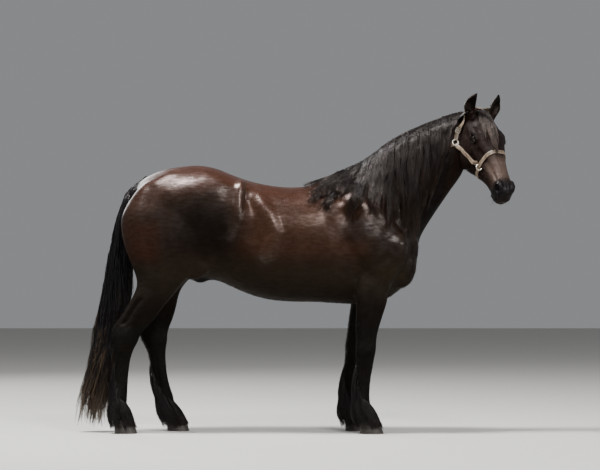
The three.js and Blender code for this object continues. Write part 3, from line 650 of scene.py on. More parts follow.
def carve_out(piece: bpy.types.Object, cutters: Sequence[bpy.types.Object]) -> None:
    """Cuts closed forms out of a piece, and removes them."""
    for cutter in cutters:
        apply_modifier(piece, "BOOLEAN", operation="DIFFERENCE", solver="EXACT", object=cutter)
        bpy.data.objects.remove(cutter)


TRUNK, NECK, HEAD = Trunk(), Neck(), Head()

BODY_MASSES = (
    Egg((645, -76, 1025), (98, 82, 150)),  # breast
    Egg((665, -52, 1120), (92, 76, 150)),  # upper breast
    Egg((-640, -150, 1110), (122, 54, 190), (0, -24, 0)),  # stifle
)
SHEATH = Egg((-566, 0, 948), (56, 30, 40), (0, -12, 0))
DOCK = Egg((-926, 0, 1462), (44, 32, 90), (0, 28, 0))


# ---------------------------------------------------------------- sculpting


@dataclass(frozen=True)
class Stroke:
    """One stroke of a sculptor's brush along a line, on both sides alike.

    Attributes:
        path: The line's points, y on the left side.
        radius: How far from the line it reaches.
        rise: How far it lifts the surface, or cuts in where negative.
        look: From where it is aimed.
    """

    path: tuple[Point, ...]
    radius: float
    rise: float
    look: Look = Look.SIDE

    def lift(self, at: Array, normals: Array) -> Array:
        """Works out how far it moves each point along its normal.

        Args:
            at: The points in the stroke's frame.
            normals: Their normals in it.

        Returns:
            The lift of each point.
        """
        axes = list(self.look.value)
        folded = np.c_[at[:, 0], np.abs(at[:, 1]), at[:, 2]][:, axes]
        line = np.array(self.path, float)[:, axes]
        low, high = line.min(0) - self.radius, line.max(0) + self.radius
        near = np.flatnonzero(np.all((folded > low) & (folded < high), axis=1))
        lift = np.zeros(len(at))
        spots = folded[near]
        best = np.full(len(near), np.inf)
        for a, b in zip(line[:-1], line[1:]) if len(line) > 1 else [(line[0], line[0])]:
            run = b - a
            t = np.clip((spots - a) @ run / max(run @ run, 1e-9), 0, 1)
            best = np.minimum(best, np.linalg.norm(spots - a - t[:, None] * run, axis=1))
        profile = np.clip(1 - (best / self.radius) ** 2, 0, 1) ** 2
        if self.look is Look.SIDE:
            profile *= ease(np.sign(at[near, 1]) * normals[near, 1], 0.05, 0.5)
        elif self.look is Look.TOP:
            profile *= ease(normals[near, 2], 0.05, 0.5)
        lift[near] = self.rise * profile
        return lift


def from_side(*rows: Sequence[float]) -> tuple[Stroke, ...]:
    """Makes strokes aimed from the side, from rows of radius, rise and the x and z of each point."""
    return tuple(Stroke(tuple((x, 0, z) for x, z in zip(row[2::2], row[3::2])), row[0], row[1]) for row in rows)


def sculpt(piece: bpy.types.Object, strokes: Sequence[Stroke], place: Callable[[Array], Array],
           aim: Callable[[Array], Array], mask: Optional[Callable[[Array], Array]] = None) -> None:  # fmt: skip
    """Goes over a surface with a set of strokes.

    Args:
        piece: The piece.
        strokes: The strokes.
        place: Turns the scene's points into the strokes' frame.
        aim: Turns the scene's directions into it.
        mask: Gives how much each point of the scene takes part, if not in full.
    """
    at = points_of(piece)
    spots, aims, normals = place(at), aim(normals_of(piece)), normals_of(piece)
    lift = sum(stroke.lift(spots, aims) for stroke in strokes)
    if mask is not None:
        lift = lift * mask(at)
    move_points(piece, at + normals * (lift * MM)[:, None])


BODY_STROKES = from_side(
    # shoulder: the blade's front edge, the muscles on both sides, the arm's point
    (72, 13, 230, 1379, 352, 1420, 523, 1362, 672, 1236, 650, 1150),
    (84, -7, 350, 1310, 450, 1240),
    (70, -6, 520, 1480, 620, 1340, 735, 1215),
    (36, -3, 390, 1440, 470, 1320, 590, 1190),
    (90, 7, 680, 1150),
    (130, 12, 400, 1220, 440, 1080),
    (48, -8, 330, 1150, 400, 1010, 450, 950),
    (90, -10, 255, 1480, 258, 1330, 300, 1120, 350, 980),
    (40, -6, 383, 945, 480, 1019, 560, 1060),
    (34, -3.5, 570, 1190, 500, 1090, 440, 1020),
    # neck: the groove of the great vein, the muscle above it, the hollow before the withers
    (44, -6, 1010, 1668, 910, 1515, 830, 1390),
    (66, 5, 980, 1730, 850, 1570, 740, 1430, 650, 1300),
    (56, -3.5, 880, 1780, 740, 1620, 600, 1480),
    (70, -5, 470, 1590, 560, 1640),
    # barrel: last rib and the ones before it, flank hollow, fold of the flank
    (64, 15, -310, 1490, -227, 1433, -148, 1311, -111, 1202, -166, 1080),
    (70, -11, -262, 1400, -236, 1320, -245, 1200),
    (70, -5, -420, 1200, -340, 1090),
    (34, 11, -331, 1494, -322, 1400, -340, 1290, -380, 1189),
    (64, -6, -400, 1440, -410, 1340, -440, 1230),
    # hindquarters: point of the hip, muscles of the croup, grooves of the thigh, point of the buttock
    (84, 8, -331, 1482),
    (70, 4, -370, 1535, -520, 1560),
    (80, -5, -430, 1440, -560, 1340, -600, 1230),
    (130, 7, -620, 1470, -740, 1380),
    (46, -5, -868, 1480, -900, 1330, -880, 1130, -850, 980),
    (46, -3, -770, 1420, -790, 1250, -765, 1050),
    (70, 1.5, -942, 1350),
    (50, 4, -655, 1010, -640, 930),
    (42, -4, -700, 1060, -720, 960, -780, 880),
) + (
    # top line: furrow of the back and croup, withers
    Stroke(((60, 0, 0), (-350, 0, 0), (-600, 0, 0), (-860, 0, 0)), 52, -8, Look.TOP),
    Stroke(((260, 0, 0), (180, 0, 0)), 44, 3, Look.TOP),
    # breast: furrow between its muscles and the ones beside the arms
    Stroke(((748, 0, 1120), (735, 0, 1030), (690, 0, 900)), 46, -9, Look.ROUND),
    Stroke(((700, 150, 1100), (690, 140, 1000), (640, 110, 900)), 46, -2.5, Look.ROUND),
    # hind view: the cleft below the tail and down between the thighs
    Stroke(((-1010, 0, 1400), (-1000, 0, 1280), (-960, 0, 1120), (-900, 0, 980)), 70, -36, Look.ROUND),
)

# Where the coat stretched over shoulder, last rib and flank shines most; here the rise is added gloss
SHEEN_STROKES = from_side(
    (110, 0.3, 230, 1379, 352, 1420, 523, 1372, 672, 1246, 660, 1170),
    (90, 0.3, -310, 1490, -227, 1433, -148, 1311, -111, 1202, -166, 1080),
    (44, 0.3, -331, 1494, -322, 1400, -340, 1290, -380, 1189),
)

# Strokes on a leg, with x from the leg's own middle
FORE_STROKES = from_side(
    (26, -3, -20, 840, -14, 700, -8, 590),
    (30, 3, 30, 860, 26, 740, 20, 620),
    (30, 3.5, -40, 850, -34, 730),
    (36, 2.5, 14, 505),
    (26, 6, -50, 540, -52, 505),
    (20, -3, -20, 560, -18, 450),
    (14, -3.5, -12, 430, -12, 350, -13, 250),
    (12, 2, -34, 430, -35, 250),
    (30, 2.5, 6, 205, 2, 180),
    (28, 3, -44, 185),
)
HIND_STROKES = from_side(
    (38, 3.5, -10, 850, 0, 740, 16, 640),
    (28, -12, -62, 800, -58, 730, -52, 672),
    (34, 3, 10, 620, 16, 560),
    (24, -3, -44, 610, -36, 560),
    (24, 2, 36, 600, 34, 540),
    (14, -3.5, -10, 480, -11, 380, -12, 260),
    (12, 2.5, -34, 500, -35, 260),
    (30, 2.5, 6, 212, 2, 188),
    (28, 3, -44, 192),
)

# Strokes on the head, in its own frame
HEAD_STROKES = from_side(
    (22, 4.5, 240, -98, 300, -106, 366, -116),
    (24, -5, 262, -136, 330, -136, 384, -130),
    (26, -6, 292, -62, 360, -64, 440, -66),
    (78, 6, 150, -150, 188, -196),
    (24, 4, 96, -250, 180, -280, 262, -258),
    (24, -7, 56, -120, 70, -205),
    (22, 3.5, 184, -62, 136, -56, 98, -62),
    (24, -3, 118, -100, 150, -88),
    (15, 3.5, 180, -21, 206, -12, 234, -25),
    (4.5, -2.6, 184, -36, 196, -29, 210, -27, 232, -37),
    (4, -1.8, 182, -25, 206, -18, 228, -27),
    (5, -2, 188, -67, 208, -73, 230, -66),
    (6, -2.2, 234, -52, 254, -61),
    (17, -6, 468, -62, 520, -58),
    (13, 3.5, 486, -50, 536, -52),
    (20, -3.5, 500, -104, 556, -104),
    (5, -5.5, 620, -128, 596, -133, 562, -137, 530, -135, 510, -130),
    (8, 2, 604, -122, 560, -126, 526, -126),
    (9, 2.2, 600, -146, 560, -149),
    (6, -2, 510, -130, 496, -122),
    (6, -1.6, 516, -148, 500, -140),
    (20, -5, 516, -168),
    (5, 2, 286, -164, 330, -138, 376, -112, 432, -92),
    (4.5, 1.6, 352, -124, 396, -130, 440, -126),
) + (
    Stroke(((250, 36, 0), (380, 30, 0), (484, 22, 0)), 12, 3, Look.TOP),
    Stroke(((158, 62, 0),), 30, -7, Look.TOP),
    Stroke(((110, 0, 0), (210, 0, 0)), 44, 3, Look.TOP),
    Stroke(((556, 0, 0), (600, 0, 0)), 9, -2, Look.TOP),
)


def nostril_rim() -> Stroke:
    """Returns the stroke that goes round the nostril's opening, seen from the side."""
    turns = np.linspace(0.35, 2 * np.pi - 0.35, 15)
    lean = math.radians(52)
    along, across = 25 * np.cos(turns), 15 * np.sin(turns)
    x = 572 + along * math.cos(lean) + across * math.sin(lean)
    z = -72 - along * math.sin(lean) + across * math.cos(lean)
    return Stroke(tuple((float(a), 0.0, float(b)) for a, b in zip(x, z)), 8, 3.4)


def to_pair(local: Array, spot: Point) -> Array:
    """Measures how far points of the head are from a spot on its left or from the one opposite."""
    x, y, z = spot
    return np.linalg.norm(np.c_[local[:, 0] - x, np.abs(local[:, 1]) - y, local[:, 2] - z], axis=1)


def head_part(here: Array, head: Array) -> Array:
    """Tells how much points belong to the head, from their places in the horse's frame and the head's."""
    return ease(head[:, 0], -30, 60) * ease(np.abs(head[:, 1]), 150, 110) * ease(here[:, 2], 1350, 1450)


def off_middle(here: Array, middle: tuple[float, float], radii: tuple[float, float]) -> Array:
    """Measures how far points are from the middle of an ellipse seen from the side, 1 on its edge."""
    return np.linalg.norm((here[:, (0, 2)] - middle) / radii, axis=1)


# the hip, where shade is painted on the coat's side and its gloss is lowered
HIP = (-540, 1230), (250, 220)
# round the elbow, below the shoulder, where shade is painted on the coat
ELBOW_SHADE = (370, 1230), (150, 130)
NOSTRIL = (574, 56, -72)


def tone(code: str) -> Array:
    """Returns the linear red, green and blue of an sRGB hex colour."""
    return np.array(linear(code)[:3])


def blend(base: Array, code: str, weight: Array) -> Array:
    """Paints a colour over others, by its weight at each point."""
    return base + weight[:, None] * (tone(code) - base)


def coat_colour(at: Array, normals: Array) -> Array:
    """Works out the colour of the coat at points of the scene, with painted light where it faces up and painted shade
    on hip, elbow, breast, belly and eyes.

    Args:
        at: The points.
        normals: The skin's normals there.

    Returns:
        Linear red, green and blue for each.
    """
    here, head = to_horse(at), HEAD.inside(at)
    on_head, up = head_part(here, head), normals[:, 2]
    x, y, z = here[:, 0], np.abs(here[:, 1]), here[:, 2]
    down_face, beside, out = head[:, 0], np.abs(head[:, 1]), head[:, 2]
    from_sheath = np.linalg.norm((here - (-566, 0, 925)) / (110, 90, 60), axis=1)
    layers = (
        # barrel, belly, painted light on what faces up, painted shade on the hip's side and round the elbow
        ("#2c1a10", 0.8 * ease(x, -420, -230) * ease(x, 520, 330) * ease(z, 900, 1150)),
        ("#1d1710", 0.8 * ease(z, 1120, 980) * ease(z, 780, 860)),
        # painted light: lighter and redder where the coat faces up
        ("#301a11", 0.85 * ease(up, 0.05, 0.9) * ease(z, 1150, 1480) * (1 - on_head)),
        # painted shade on the hip's side, not on its top
        ("#110d0b", 0.75 * ease(off_middle(here, *HIP), 1.0, 0.3) * ease(up, 0.7, 0.2)),
        # painted shade below the shoulder, round the elbow
        ("#120c0a", 0.7 * ease(off_middle(here, *ELBOW_SHADE), 1.0, 0.3)),
        # rusty buttock, below the dock, legs, the sheath with painted shade under the belly round it, painted shade
        # under the breast
        ("#2a150d", 0.6 * ease(x, -760, -860) * ease(z, 1000, 1080) * ease(z, 1330, 1200)),
        ("#0c0909", ease(x, -880, -920) * ease(z, 1360, 1440) * ease(y, 75, 45)),
        ("#100e0c", ease(z, 1000, 620) * ease(y, 20, 60)),
        # the sheath's own dark skin, and painted shade under the belly round it
        ("#0d0a09", ease(from_sheath, 1.0, 0.7)),
        # painted shade where the breast faces down
        ("#0e0a09", ease(x, 640, 760) * (1 - on_head) * ease(up, 0.3, -0.2)),
        # head, bridge of the nose, muzzle, ears, and painted shade on the lids in the eyes' hollows
        ("#160e0c", 0.8 * on_head),
        ("#4a3d36", 0.7 * on_head * ease(down_face, 330, 430) * ease(down_face, 552, 500) * ease(out, -125, -60)),
        ("#0e0c0c", on_head * ease(down_face - 0.12 * (out + 100), 500, 572)),
        ("#0c0a0a", on_head * ease(out, 15, 40) * ease(beside, 25, 45)),
        # painted shade in the hollow round each eye
        ("#0d0a09", ease(to_pair(head, HEAD.eye), 42, 30)),
    )
    colour = np.tile(tone("#1a120d"), (len(at), 1))
    for code, weight in layers:
        colour = blend(colour, code, weight)
    return colour


def coat_gloss(at: Array, normals: Array) -> Array:
    """Works out how much the coat shines: most on back and croup, least on belly, legs and ears."""
    here, head = to_horse(at), HEAD.inside(at)
    on_head = head_part(here, head)
    shine = 0.08 + 0.22 * ease(normals[:, 2], -0.35, 0.25)
    shine = shine * (1 - 0.72 * ease(here[:, 2], 1000, 700)) * (1 - 0.45 * on_head)
    shine = shine * (1 - 0.5 * ease(off_middle(here, *HIP), 1.0, 0.4))
    for stroke in SHEEN_STROKES:
        shine = shine + stroke.lift(here, normals)
    return shine + 0.12 * on_head * ease(head[:, 0], 520, 570)


class Skin:
    """The one skin over trunk, neck, legs, head and ears."""

    replaced = (
        "torso", "neck", "head", "ear_right", "ear_left", "leg_fore_right", "leg_fore_left", "leg_hind_right",
        "leg_hind_left", "pastern_fore_right", "pastern_fore_left", "pastern_hind_right", "pastern_hind_left",
    )  # fmt: skip

    def __init__(self) -> None:
        """Sets how fine it is, and where the head is set on the neck."""
        self.body_grain = 5.5
        self.head_grain = 2.3
        self.body_faces = 98000
        self.head_faces = 96000
        self.gap = 1.5  # mm from the seam to each half's edge
        self.spare = 30.0  # mm of neck kept behind the seam while the head is fused
        crest, under = np.array((772, -6, 1856.0)), np.array((962, -6, 1488.0))
        self.seam = to_scene((crest + under) / 2)
        lean = unit(crest - under)
        self.seam_normal = np.array((lean[2], 0, -lean[0]))

    def thin(self, piece: bpy.types.Object, faces: int) -> None:
        """Takes faces away where the surface is flattest."""
        now = sum(len(p.vertices) - 2 for p in piece.data.polygons)
        if now > faces:
            apply_modifier(piece, "DECIMATE", ratio=faces / now)

    def cut(self, piece: bpy.types.Object, ahead: float, **settings: bool) -> None:
        """Cuts a piece across the neck, so many millimetres ahead of the seam."""
        with editing(piece):
            spot = self.seam + ahead * MM * self.seam_normal
            bpy.ops.mesh.bisect(plane_co=spot, plane_no=self.seam_normal, **settings)

    def part(self, piece: bpy.types.Object, keep_front: bool) -> None:
        """Cuts a piece across the neck and keeps one side."""
        ahead = self.gap if keep_front else -self.gap
        self.cut(piece, ahead, clear_inner=keep_front, clear_outer=not keep_front)

    def sculpt_body(self, piece: bpy.types.Object) -> None:
        """Works the muscles of trunk, neck and legs."""

        def off_head(at: Array) -> Array:
            """Tells how much points belong to the body."""
            head = HEAD.inside(at)
            return 1 - ease(head[:, 0], -60, 40) * ease(np.abs(head[:, 1]), 150, 120)

        def unturned(normals: Array) -> Array:
            """Leaves directions as they are."""
            return normals

        sculpt(piece, BODY_STROKES, to_horse, unturned, off_head)
        for leg in LEGS:
            rows = leg.rows()

            def place(at: Array, rows: Array = rows) -> Array:
                """Turns points of the scene into the leg's own frame."""
                here = to_horse(at)
                row = row_at(rows, here[:, 2])
                return np.c_[here[:, 0] - row[:, 1], here[:, 1] - row[:, 3], here[:, 2]]

            def mask(at: Array, place: Callable = place) -> Array:
                """Tells how much points belong to the leg."""
                local = place(at)
                near = (np.abs(local[:, 1]) < 120) & (np.abs(local[:, 0]) < 190)
                return near * ease(local[:, 2], 900, 840)

            strokes = FORE_STROKES if leg.name.startswith("fore") else HIND_STROKES
            sculpt(piece, strokes, place, unturned, mask)

    def body(self) -> bpy.types.Object:
        """Models trunk, legs and neck as one surface."""
        masses = [egg.build(HORSE) for pair in BODY_MASSES for egg in (pair, pair.mirrored())]
        masses += [SHEATH.build(HORSE), DOCK.build(HORSE)]
        piece = joined([TRUNK.build(), NECK.build(), *[leg.build() for leg in LEGS], *masses], "body_blockout")
        remesh(piece, self.body_grain)
        at, edges = points_of(piece), edges_of(piece)
        high = ease(to_horse(at)[:, 2], 700, 900)
        passes = 34
        at = relax(at, edges, passes, 0.55 * high)
        at = relax(at, edges, 6, 0.5, 0.98)
        move_points(piece, at)
        self.sculpt_body(piece)
        move_points(piece, relax(points_of(piece), edges, 2, 0.4))
        self.thin(piece, self.body_faces)
        self.part(piece, keep_front=False)
        return piece

    def head(self) -> bpy.types.Object:
        """Models head, ears and the upper neck as one surface."""
        piece = joined([HEAD.build(), NECK.build()], "head_blockout")
        # only the upper neck is kept, so the rest needn't be fused finely
        self.cut(piece, -self.spare, clear_inner=True, use_fill=True)
        remesh(piece, 3.4)
        carve_out(piece, HEAD.cutters())
        remesh(piece, self.head_grain)
        at, edges = points_of(piece), edges_of(piece)
        local = HEAD.inside(at)
        soft = ease(to_pair(local, HEAD.eye), 32, 60) * ease(to_pair(local, NOSTRIL), 26, 52)
        soft *= 1 - 0.8 * ease(local[:, 2], 10, 40) * ease(np.abs(local[:, 1]), 20, 40)
        at = relax(at, edges, 40, 0.5 * soft)
        behind = ease(local[:, 0], 40, -40)
        at = relax(at, edges, 40, 0.5 * behind * soft)
        at = relax(at, edges, 3, 0.5, 0.9)
        move_points(piece, at)
        self.sculpt_body(piece)

        def on_head(at: Array) -> Array:
            """Tells how much points belong to the head."""
            return ease(HEAD.inside(at)[:, 0], -20, 30)

        sculpt(piece, (*HEAD_STROKES, nostril_rim()), HEAD.inside, HEAD.turned, on_head)
        move_points(piece, relax(points_of(piece), edges, 1, 0.35))
        self.thin(piece, self.head_faces)
        self.part(piece, keep_front=True)
        return piece

    def build(self) -> bpy.types.Object:
        """Models both halves, bridges them across the neck and dresses the skin."""
        body = self.body()
        LOG.info("body: %d faces", len(body.data.polygons))
        head = self.head()
        LOG.info("head: %d faces", len(head.data.polygons))
        skin = joined([body, head], "skin")
        bpy.ops.object.mode_set(mode="EDIT")
        bpy.context.tool_settings.mesh_select_mode = (False, True, False)
        bpy.ops.mesh.select_all(action="DESELECT")
        bpy.ops.mesh.select_non_manifold(
            extend=False, use_wire=False, use_boundary=True, use_multi_face=False, use_non_contiguous=False,
            use_verts=False,
        )
        bpy.ops.mesh.bridge_edge_loops()
        bpy.ops.mesh.select_all(action="SELECT")
        bpy.ops.mesh.normals_make_consistent(inside=False)
        bpy.ops.mesh.select_all(action="DESELECT")
        bpy.context.tool_settings.mesh_select_mode = (True, False, False)
        bpy.ops.object.mode_set(mode="OBJECT")
        at, edges = points_of(skin), edges_of(skin)
        off_seam = np.abs((at - self.seam) @ self.seam_normal) / MM
        move_points(skin, relax(at, edges, 24, 0.5 * ease(off_seam, 30, 8)))
        choose(skin)
        bpy.ops.object.shade_smooth()
        at, normals = points_of(skin), normals_of(skin)
        # the coat's colours, with light and shade painted into them
        paint(skin, coat_colour(at, normals), coat_gloss(at, normals))
        mark(skin, "in_head", HEAD.inside(at) * MM)
        skin.data.materials.append(ShortCoat().material())
        return skin


# ---------------------------------------------------------------- materials


def linear(code: str) -> tuple[float, float, float, float]:
    """Turns an sRGB hex colour into linear values."""
    parts = [int(code.lstrip("#")[i : i + 2], 16) / 255 for i in (0, 2, 4)]
    red, green, blue = [p / 12.92 if p <= 0.04045 else ((p + 0.055) / 1.055) ** 2.4 for p in parts]
    return red, green, blue, 1.0


class Nodes:
    """A material with its tree, and the nodes that the materials here share."""

    def __init__(self, name: str) -> None:
        """Starts a material with an empty tree."""
        self.material = bpy.data.materials.new(name)
        self.material.use_nodes = True
        self.tree = self.material.node_tree
        self.tree.nodes.clear()
        self.surface = self.tree.nodes.new("ShaderNodeOutputMaterial").inputs["Surface"]

    def add(self, kind: str, inputs: dict, give: Union[int, str] = 0, **settings: object) -> bpy.types.NodeSocket:
        """Adds a node with its settings and links.

        Args:
            kind: The node's type.
            inputs: For each input, by name or number, its value or the output that feeds it.
            give: The output that is wanted.
            settings: The node's own settings.

        Returns:
            That output.
        """
        node = self.tree.nodes.new("ShaderNode" + kind)
        for name, value in settings.items():
            setattr(node, name, value)
        for name, value in inputs.items():
            if isinstance(value, bpy.types.NodeSocket):
                self.tree.links.new(value, node.inputs[name])
            else:
                node.inputs[name].default_value = value
        return node.outputs[give]

    def place(self) -> bpy.types.NodeSocket:
        """Gives the place on the piece, in metres."""
        return self.add("TexCoord", {}, "Object")

    def read(self, name: str, give: str = "Vector") -> bpy.types.NodeSocket:
        """Gives what the mesh says under a name."""
        return self.add("Attribute", {}, give, attribute_name=name)

    def noise(self, place: bpy.types.NodeSocket, scale: Union[float, Point], detail: float) -> bpy.types.NodeSocket:
        """Gives noise of one scale, or of one for each axis."""
        if isinstance(scale, tuple):
            place, scale = self.add("Mapping", {"Vector": place, "Scale": scale}), 1.0
        return self.add("TexNoise", {"Vector": place, "Scale": scale, "Detail": detail})

    def spread(
        self, value: bpy.types.NodeSocket, low: float, high: float, start: float = 0.0, end: float = 1.0
    ) -> bpy.types.NodeSocket:
        """Spreads a value from low to high over start to end."""
        return self.add("MapRange", {0: value, 1: low, 2: high, 3: start, 4: end})

    def bump(self, height: bpy.types.NodeSocket, strength: float, reach: float, **more: object) -> bpy.types.NodeSocket:
        """Gives normals of a relief that stands so many millimetres proud."""
        return self.add("Bump", {"Height": height, "Strength": strength, "Distance": reach * MM, **more})

    def scaled(self, colour: bpy.types.NodeSocket, factor: bpy.types.NodeSocket) -> bpy.types.NodeSocket:
        """Makes a colour brighter or darker by a factor."""
        return self.add("VectorMath", {0: colour, 3: factor}, operation="SCALE")

    def sheen(self, colour: bpy.types.NodeSocket, lift: Point) -> bpy.types.NodeSocket:
        """Gives the tint of hair's own gloss: its colour made much brighter, over a pale ground."""
        return self.add("VectorMath", {0: colour, 1: (12.0, 12.0, 12.0), 2: lift}, operation="MULTIPLY_ADD")

    def mixed(self, part: bpy.types.NodeSocket, first: str, second: str) -> bpy.types.NodeSocket:
        """Mixes two sRGB hex colours."""
        return self.add("Mix", {0: part, 6: linear(first), 7: linear(second)}, 2, data_type="RGBA")

    def finish(self, colour: object, roughness: object, **more: object) -> bpy.types.Material:
        """Adds the shader and returns the material."""
        inputs = {name.replace("_", " "): value for name, value in more.items()}
        shader = self.add("BsdfPrincipled", {"Base Color": colour, "Roughness": roughness, **inputs})
        self.tree.links.new(shader, self.surface)
        return self.material


def paint(piece: bpy.types.Object, colours: Array, gloss: Optional[Array] = None) -> None:
    """Gives each vertex of a piece a linear colour that its material reads, and in its alpha how it shines."""
    layer = piece.data.color_attributes.new("coat", "FLOAT_COLOR", "POINT")
    gloss = np.ones(len(colours)) if gloss is None else gloss
    layer.data.foreach_set("color", np.c_[colours, gloss].astype(np.float32).ravel())


def mark(piece: bpy.types.Object, name: str, values: Array) -> None:
    """Gives each vertex of a piece three numbers, under a name that its material reads."""
    layer = piece.data.attributes.new(name, "FLOAT_VECTOR", "POINT")
    layer.data.foreach_set("vector", values.astype(np.float32).ravel())


@dataclass(frozen=True)
class ShortCoat:
    """Short summer coat, brushed flat: near-black hair with a hard gloss, whose streaks follow the lie of the hair."""

    streak: float = 2.6  # mm between streaks; single hairs are 0.1 mm apart, so locks of them are drawn
    lie: float = 8.0  # how many times longer than wide a streak is
    depth: float = 0.5  # mm that the streaks stand proud
    swell: float = 1.2  # mm that ripples of hair and skin stand proud
    roughness: float = 0.31

    def material(self) -> bpy.types.Material:
        """Makes the material."""
        nodes = Nodes("short glossy horse coat")
        place, in_head = nodes.place(), nodes.read("in_head")
        fine = 1 / (self.streak * MM)
        coarse = fine / self.lie
        level_hair = nodes.noise(place, (coarse, fine, fine * 0.7), 2.0)
        upright_hair = nodes.noise(place, (fine, fine, coarse), 2.0)
        face_hair = nodes.noise(in_head, (coarse, fine, fine), 2.0)
        upright = nodes.spread(nodes.add("SeparateXYZ", {0: place}, "Z"), 0.95, 0.7)
        streaks = nodes.add("Mix", {0: upright, 2: level_hair, 3: upright_hair})
        on_face = nodes.spread(nodes.add("SeparateXYZ", {0: in_head}, "X"), -0.06, 0.02)
        streaks = nodes.add("Mix", {0: on_face, 2: streaks, 3: face_hair})
        cloud = nodes.noise(place, 9.0, 3.0)
        ripple = nodes.noise(place, (22.0, 46.0, 60.0), 4.0)
        painted, shine = nodes.read("coat", "Color"), nodes.read("coat", "Alpha")
        shade, mottle = nodes.spread(streaks, 0.3, 0.7, 0.72, 1.25), nodes.spread(cloud, 0.3, 0.7, 0.85, 1.15)
        colour = nodes.scaled(painted, nodes.add("Math", {0: shade, 1: mottle}, operation="MULTIPLY"))
        grain = nodes.spread(streaks, 0.3, 0.7, self.roughness - 0.06, self.roughness + 0.1)
        rough = nodes.add("Math", {0: grain, 1: nodes.spread(shine, 0.08, 0.3, 0.36, 0.0)}, operation="ADD")
        swell = nodes.bump(ripple, 1.0, self.swell)
        broken = nodes.spread(ripple, 0.35, 0.65, 0.55, 1.45)
        gloss = nodes.add("Math", {0: shine, 1: broken}, operation="MULTIPLY")
        return nodes.finish(
            colour, rough, Normal=nodes.bump(streaks, 0.6, self.depth, Normal=swell), IOR=1.5,
            Specular_IOR_Level=gloss, Specular_Tint=nodes.sheen(painted, (0.4, 0.4, 0.4)),
        )  # fmt: skip


@dataclass(frozen=True)
class LongHair:
    """Coarse long hair of mane, tail and feather: glossy black, rusty where old ends bleach.

    Each modelled strand stands for a dozen hairs of 0.15 mm, drawn as streaks along it.
    """

    name: str = "long horse hair"
    roughness: float = 0.4
    gloss: float = 0.36
    hairs: float = 9.0  # streaks across a strand
    run: float = 2.5  # how often a streak changes along it

    def material(self) -> bpy.types.Material:
        """Makes the material, which reads each strand's own colour and its place on the strand."""
        nodes = Nodes(self.name)
        painted = nodes.read("coat", "Color")
        streaks = nodes.noise(nodes.read("strand"), (self.hairs, self.run, 1.0), 1.0)
        return nodes.finish(
            nodes.scaled(painted, nodes.spread(streaks, 0.3, 0.7, 0.45, 1.6)), self.roughness,
            Specular_IOR_Level=self.gloss, IOR=1.55, Specular_Tint=nodes.sheen(painted, (0.5, 0.45, 0.42)),
            Normal=nodes.bump(streaks, 0.5, 0.8),
        )  # fmt: skip


@dataclass(frozen=True)
class WetEye:
    """Wet cornea over a dark brown iris with a level pupil: all but a mirror, with rings painted below it."""

    def material(self) -> bpy.types.Material:
        """Makes the material."""
        nodes = Nodes("wet horse eye")
        return nodes.finish(
            nodes.read("coat", "Color"), 0.1, IOR=1.38, Specular_IOR_Level=0.35, Coat_Weight=0.5, Coat_Roughness=0.02
        )


@dataclass(frozen=True)
class HoofHorn:
    """Dark hoof horn, worn by ground and rasp: fine upright tubules and level growth rings."""

    dark: str = "#171310"
    pale: str = "#3c342d"
    ring: float = 7.0  # mm from one growth ring to the next
    tubule: float = 1.6  # mm between streaks of horn, drawn coarser than the real 0.3 mm

    def material(self) -> bpy.types.Material:
        """Makes the material."""
        nodes = Nodes("grey-brown hoof horn")
        place = nodes.place()
        fine, tall = 1 / (self.tubule * MM), 1 / (self.tubule * 14 * MM)
        streaks = nodes.noise(place, (fine, fine, tall), 2.0)
        rings = nodes.noise(place, (12.0, 12.0, 1 / (self.ring * MM)), 1.0)
        both = nodes.add("Math", {0: streaks, 1: rings}, operation="ADD")
        colour = nodes.mixed(nodes.spread(both, 0.75, 1.35), self.dark, self.pale)
        return nodes.finish(colour, 0.55, IOR=1.54, Normal=nodes.bump(both, 0.7, 0.5))


@dataclass(frozen=True)
class HalterLeather:
    """Oiled harness leather worn to a pale tan: fine pebbled grain, with darker worn patches at random."""

    tan: str = "#7c6c5b"
    dark: str = "#4a3c30"
    grain: float = 1.8  # mm between pebbles

    def material(self) -> bpy.types.Material:
        """Makes the material."""
        nodes = Nodes("tan harness leather")
        place = nodes.place()
        pebbles = nodes.add("TexVoronoi", {"Vector": place, "Scale": 1 / (self.grain * MM)})
        wear = nodes.spread(nodes.noise(place, 38.0, 4.0), 0.35, 0.68)
        colour = nodes.mixed(wear, self.dark, self.tan)
        return nodes.finish(colour, 0.5, IOR=1.5, Normal=nodes.bump(pebbles, 0.4, 0.3))


@dataclass(frozen=True)
class PlainFinish:
    """An even finish, such as nickel plate, waxed thread or floor paint."""

    name: str
    colour: str
    roughness: float
    metallic: float = 0.0

    def material(self) -> bpy.types.Material:
        """Makes the material."""
        return Nodes(self.name).finish(linear(self.colour), self.roughness, Metallic=self.metallic)


NICKEL = PlainFinish("dulled nickel plate", "#b9b2a4", 0.3, 1.0)
THREAD = PlainFinish("waxed linen thread", "#d8c9b0", 0.7)


# ---------------------------------------------------------------- hair


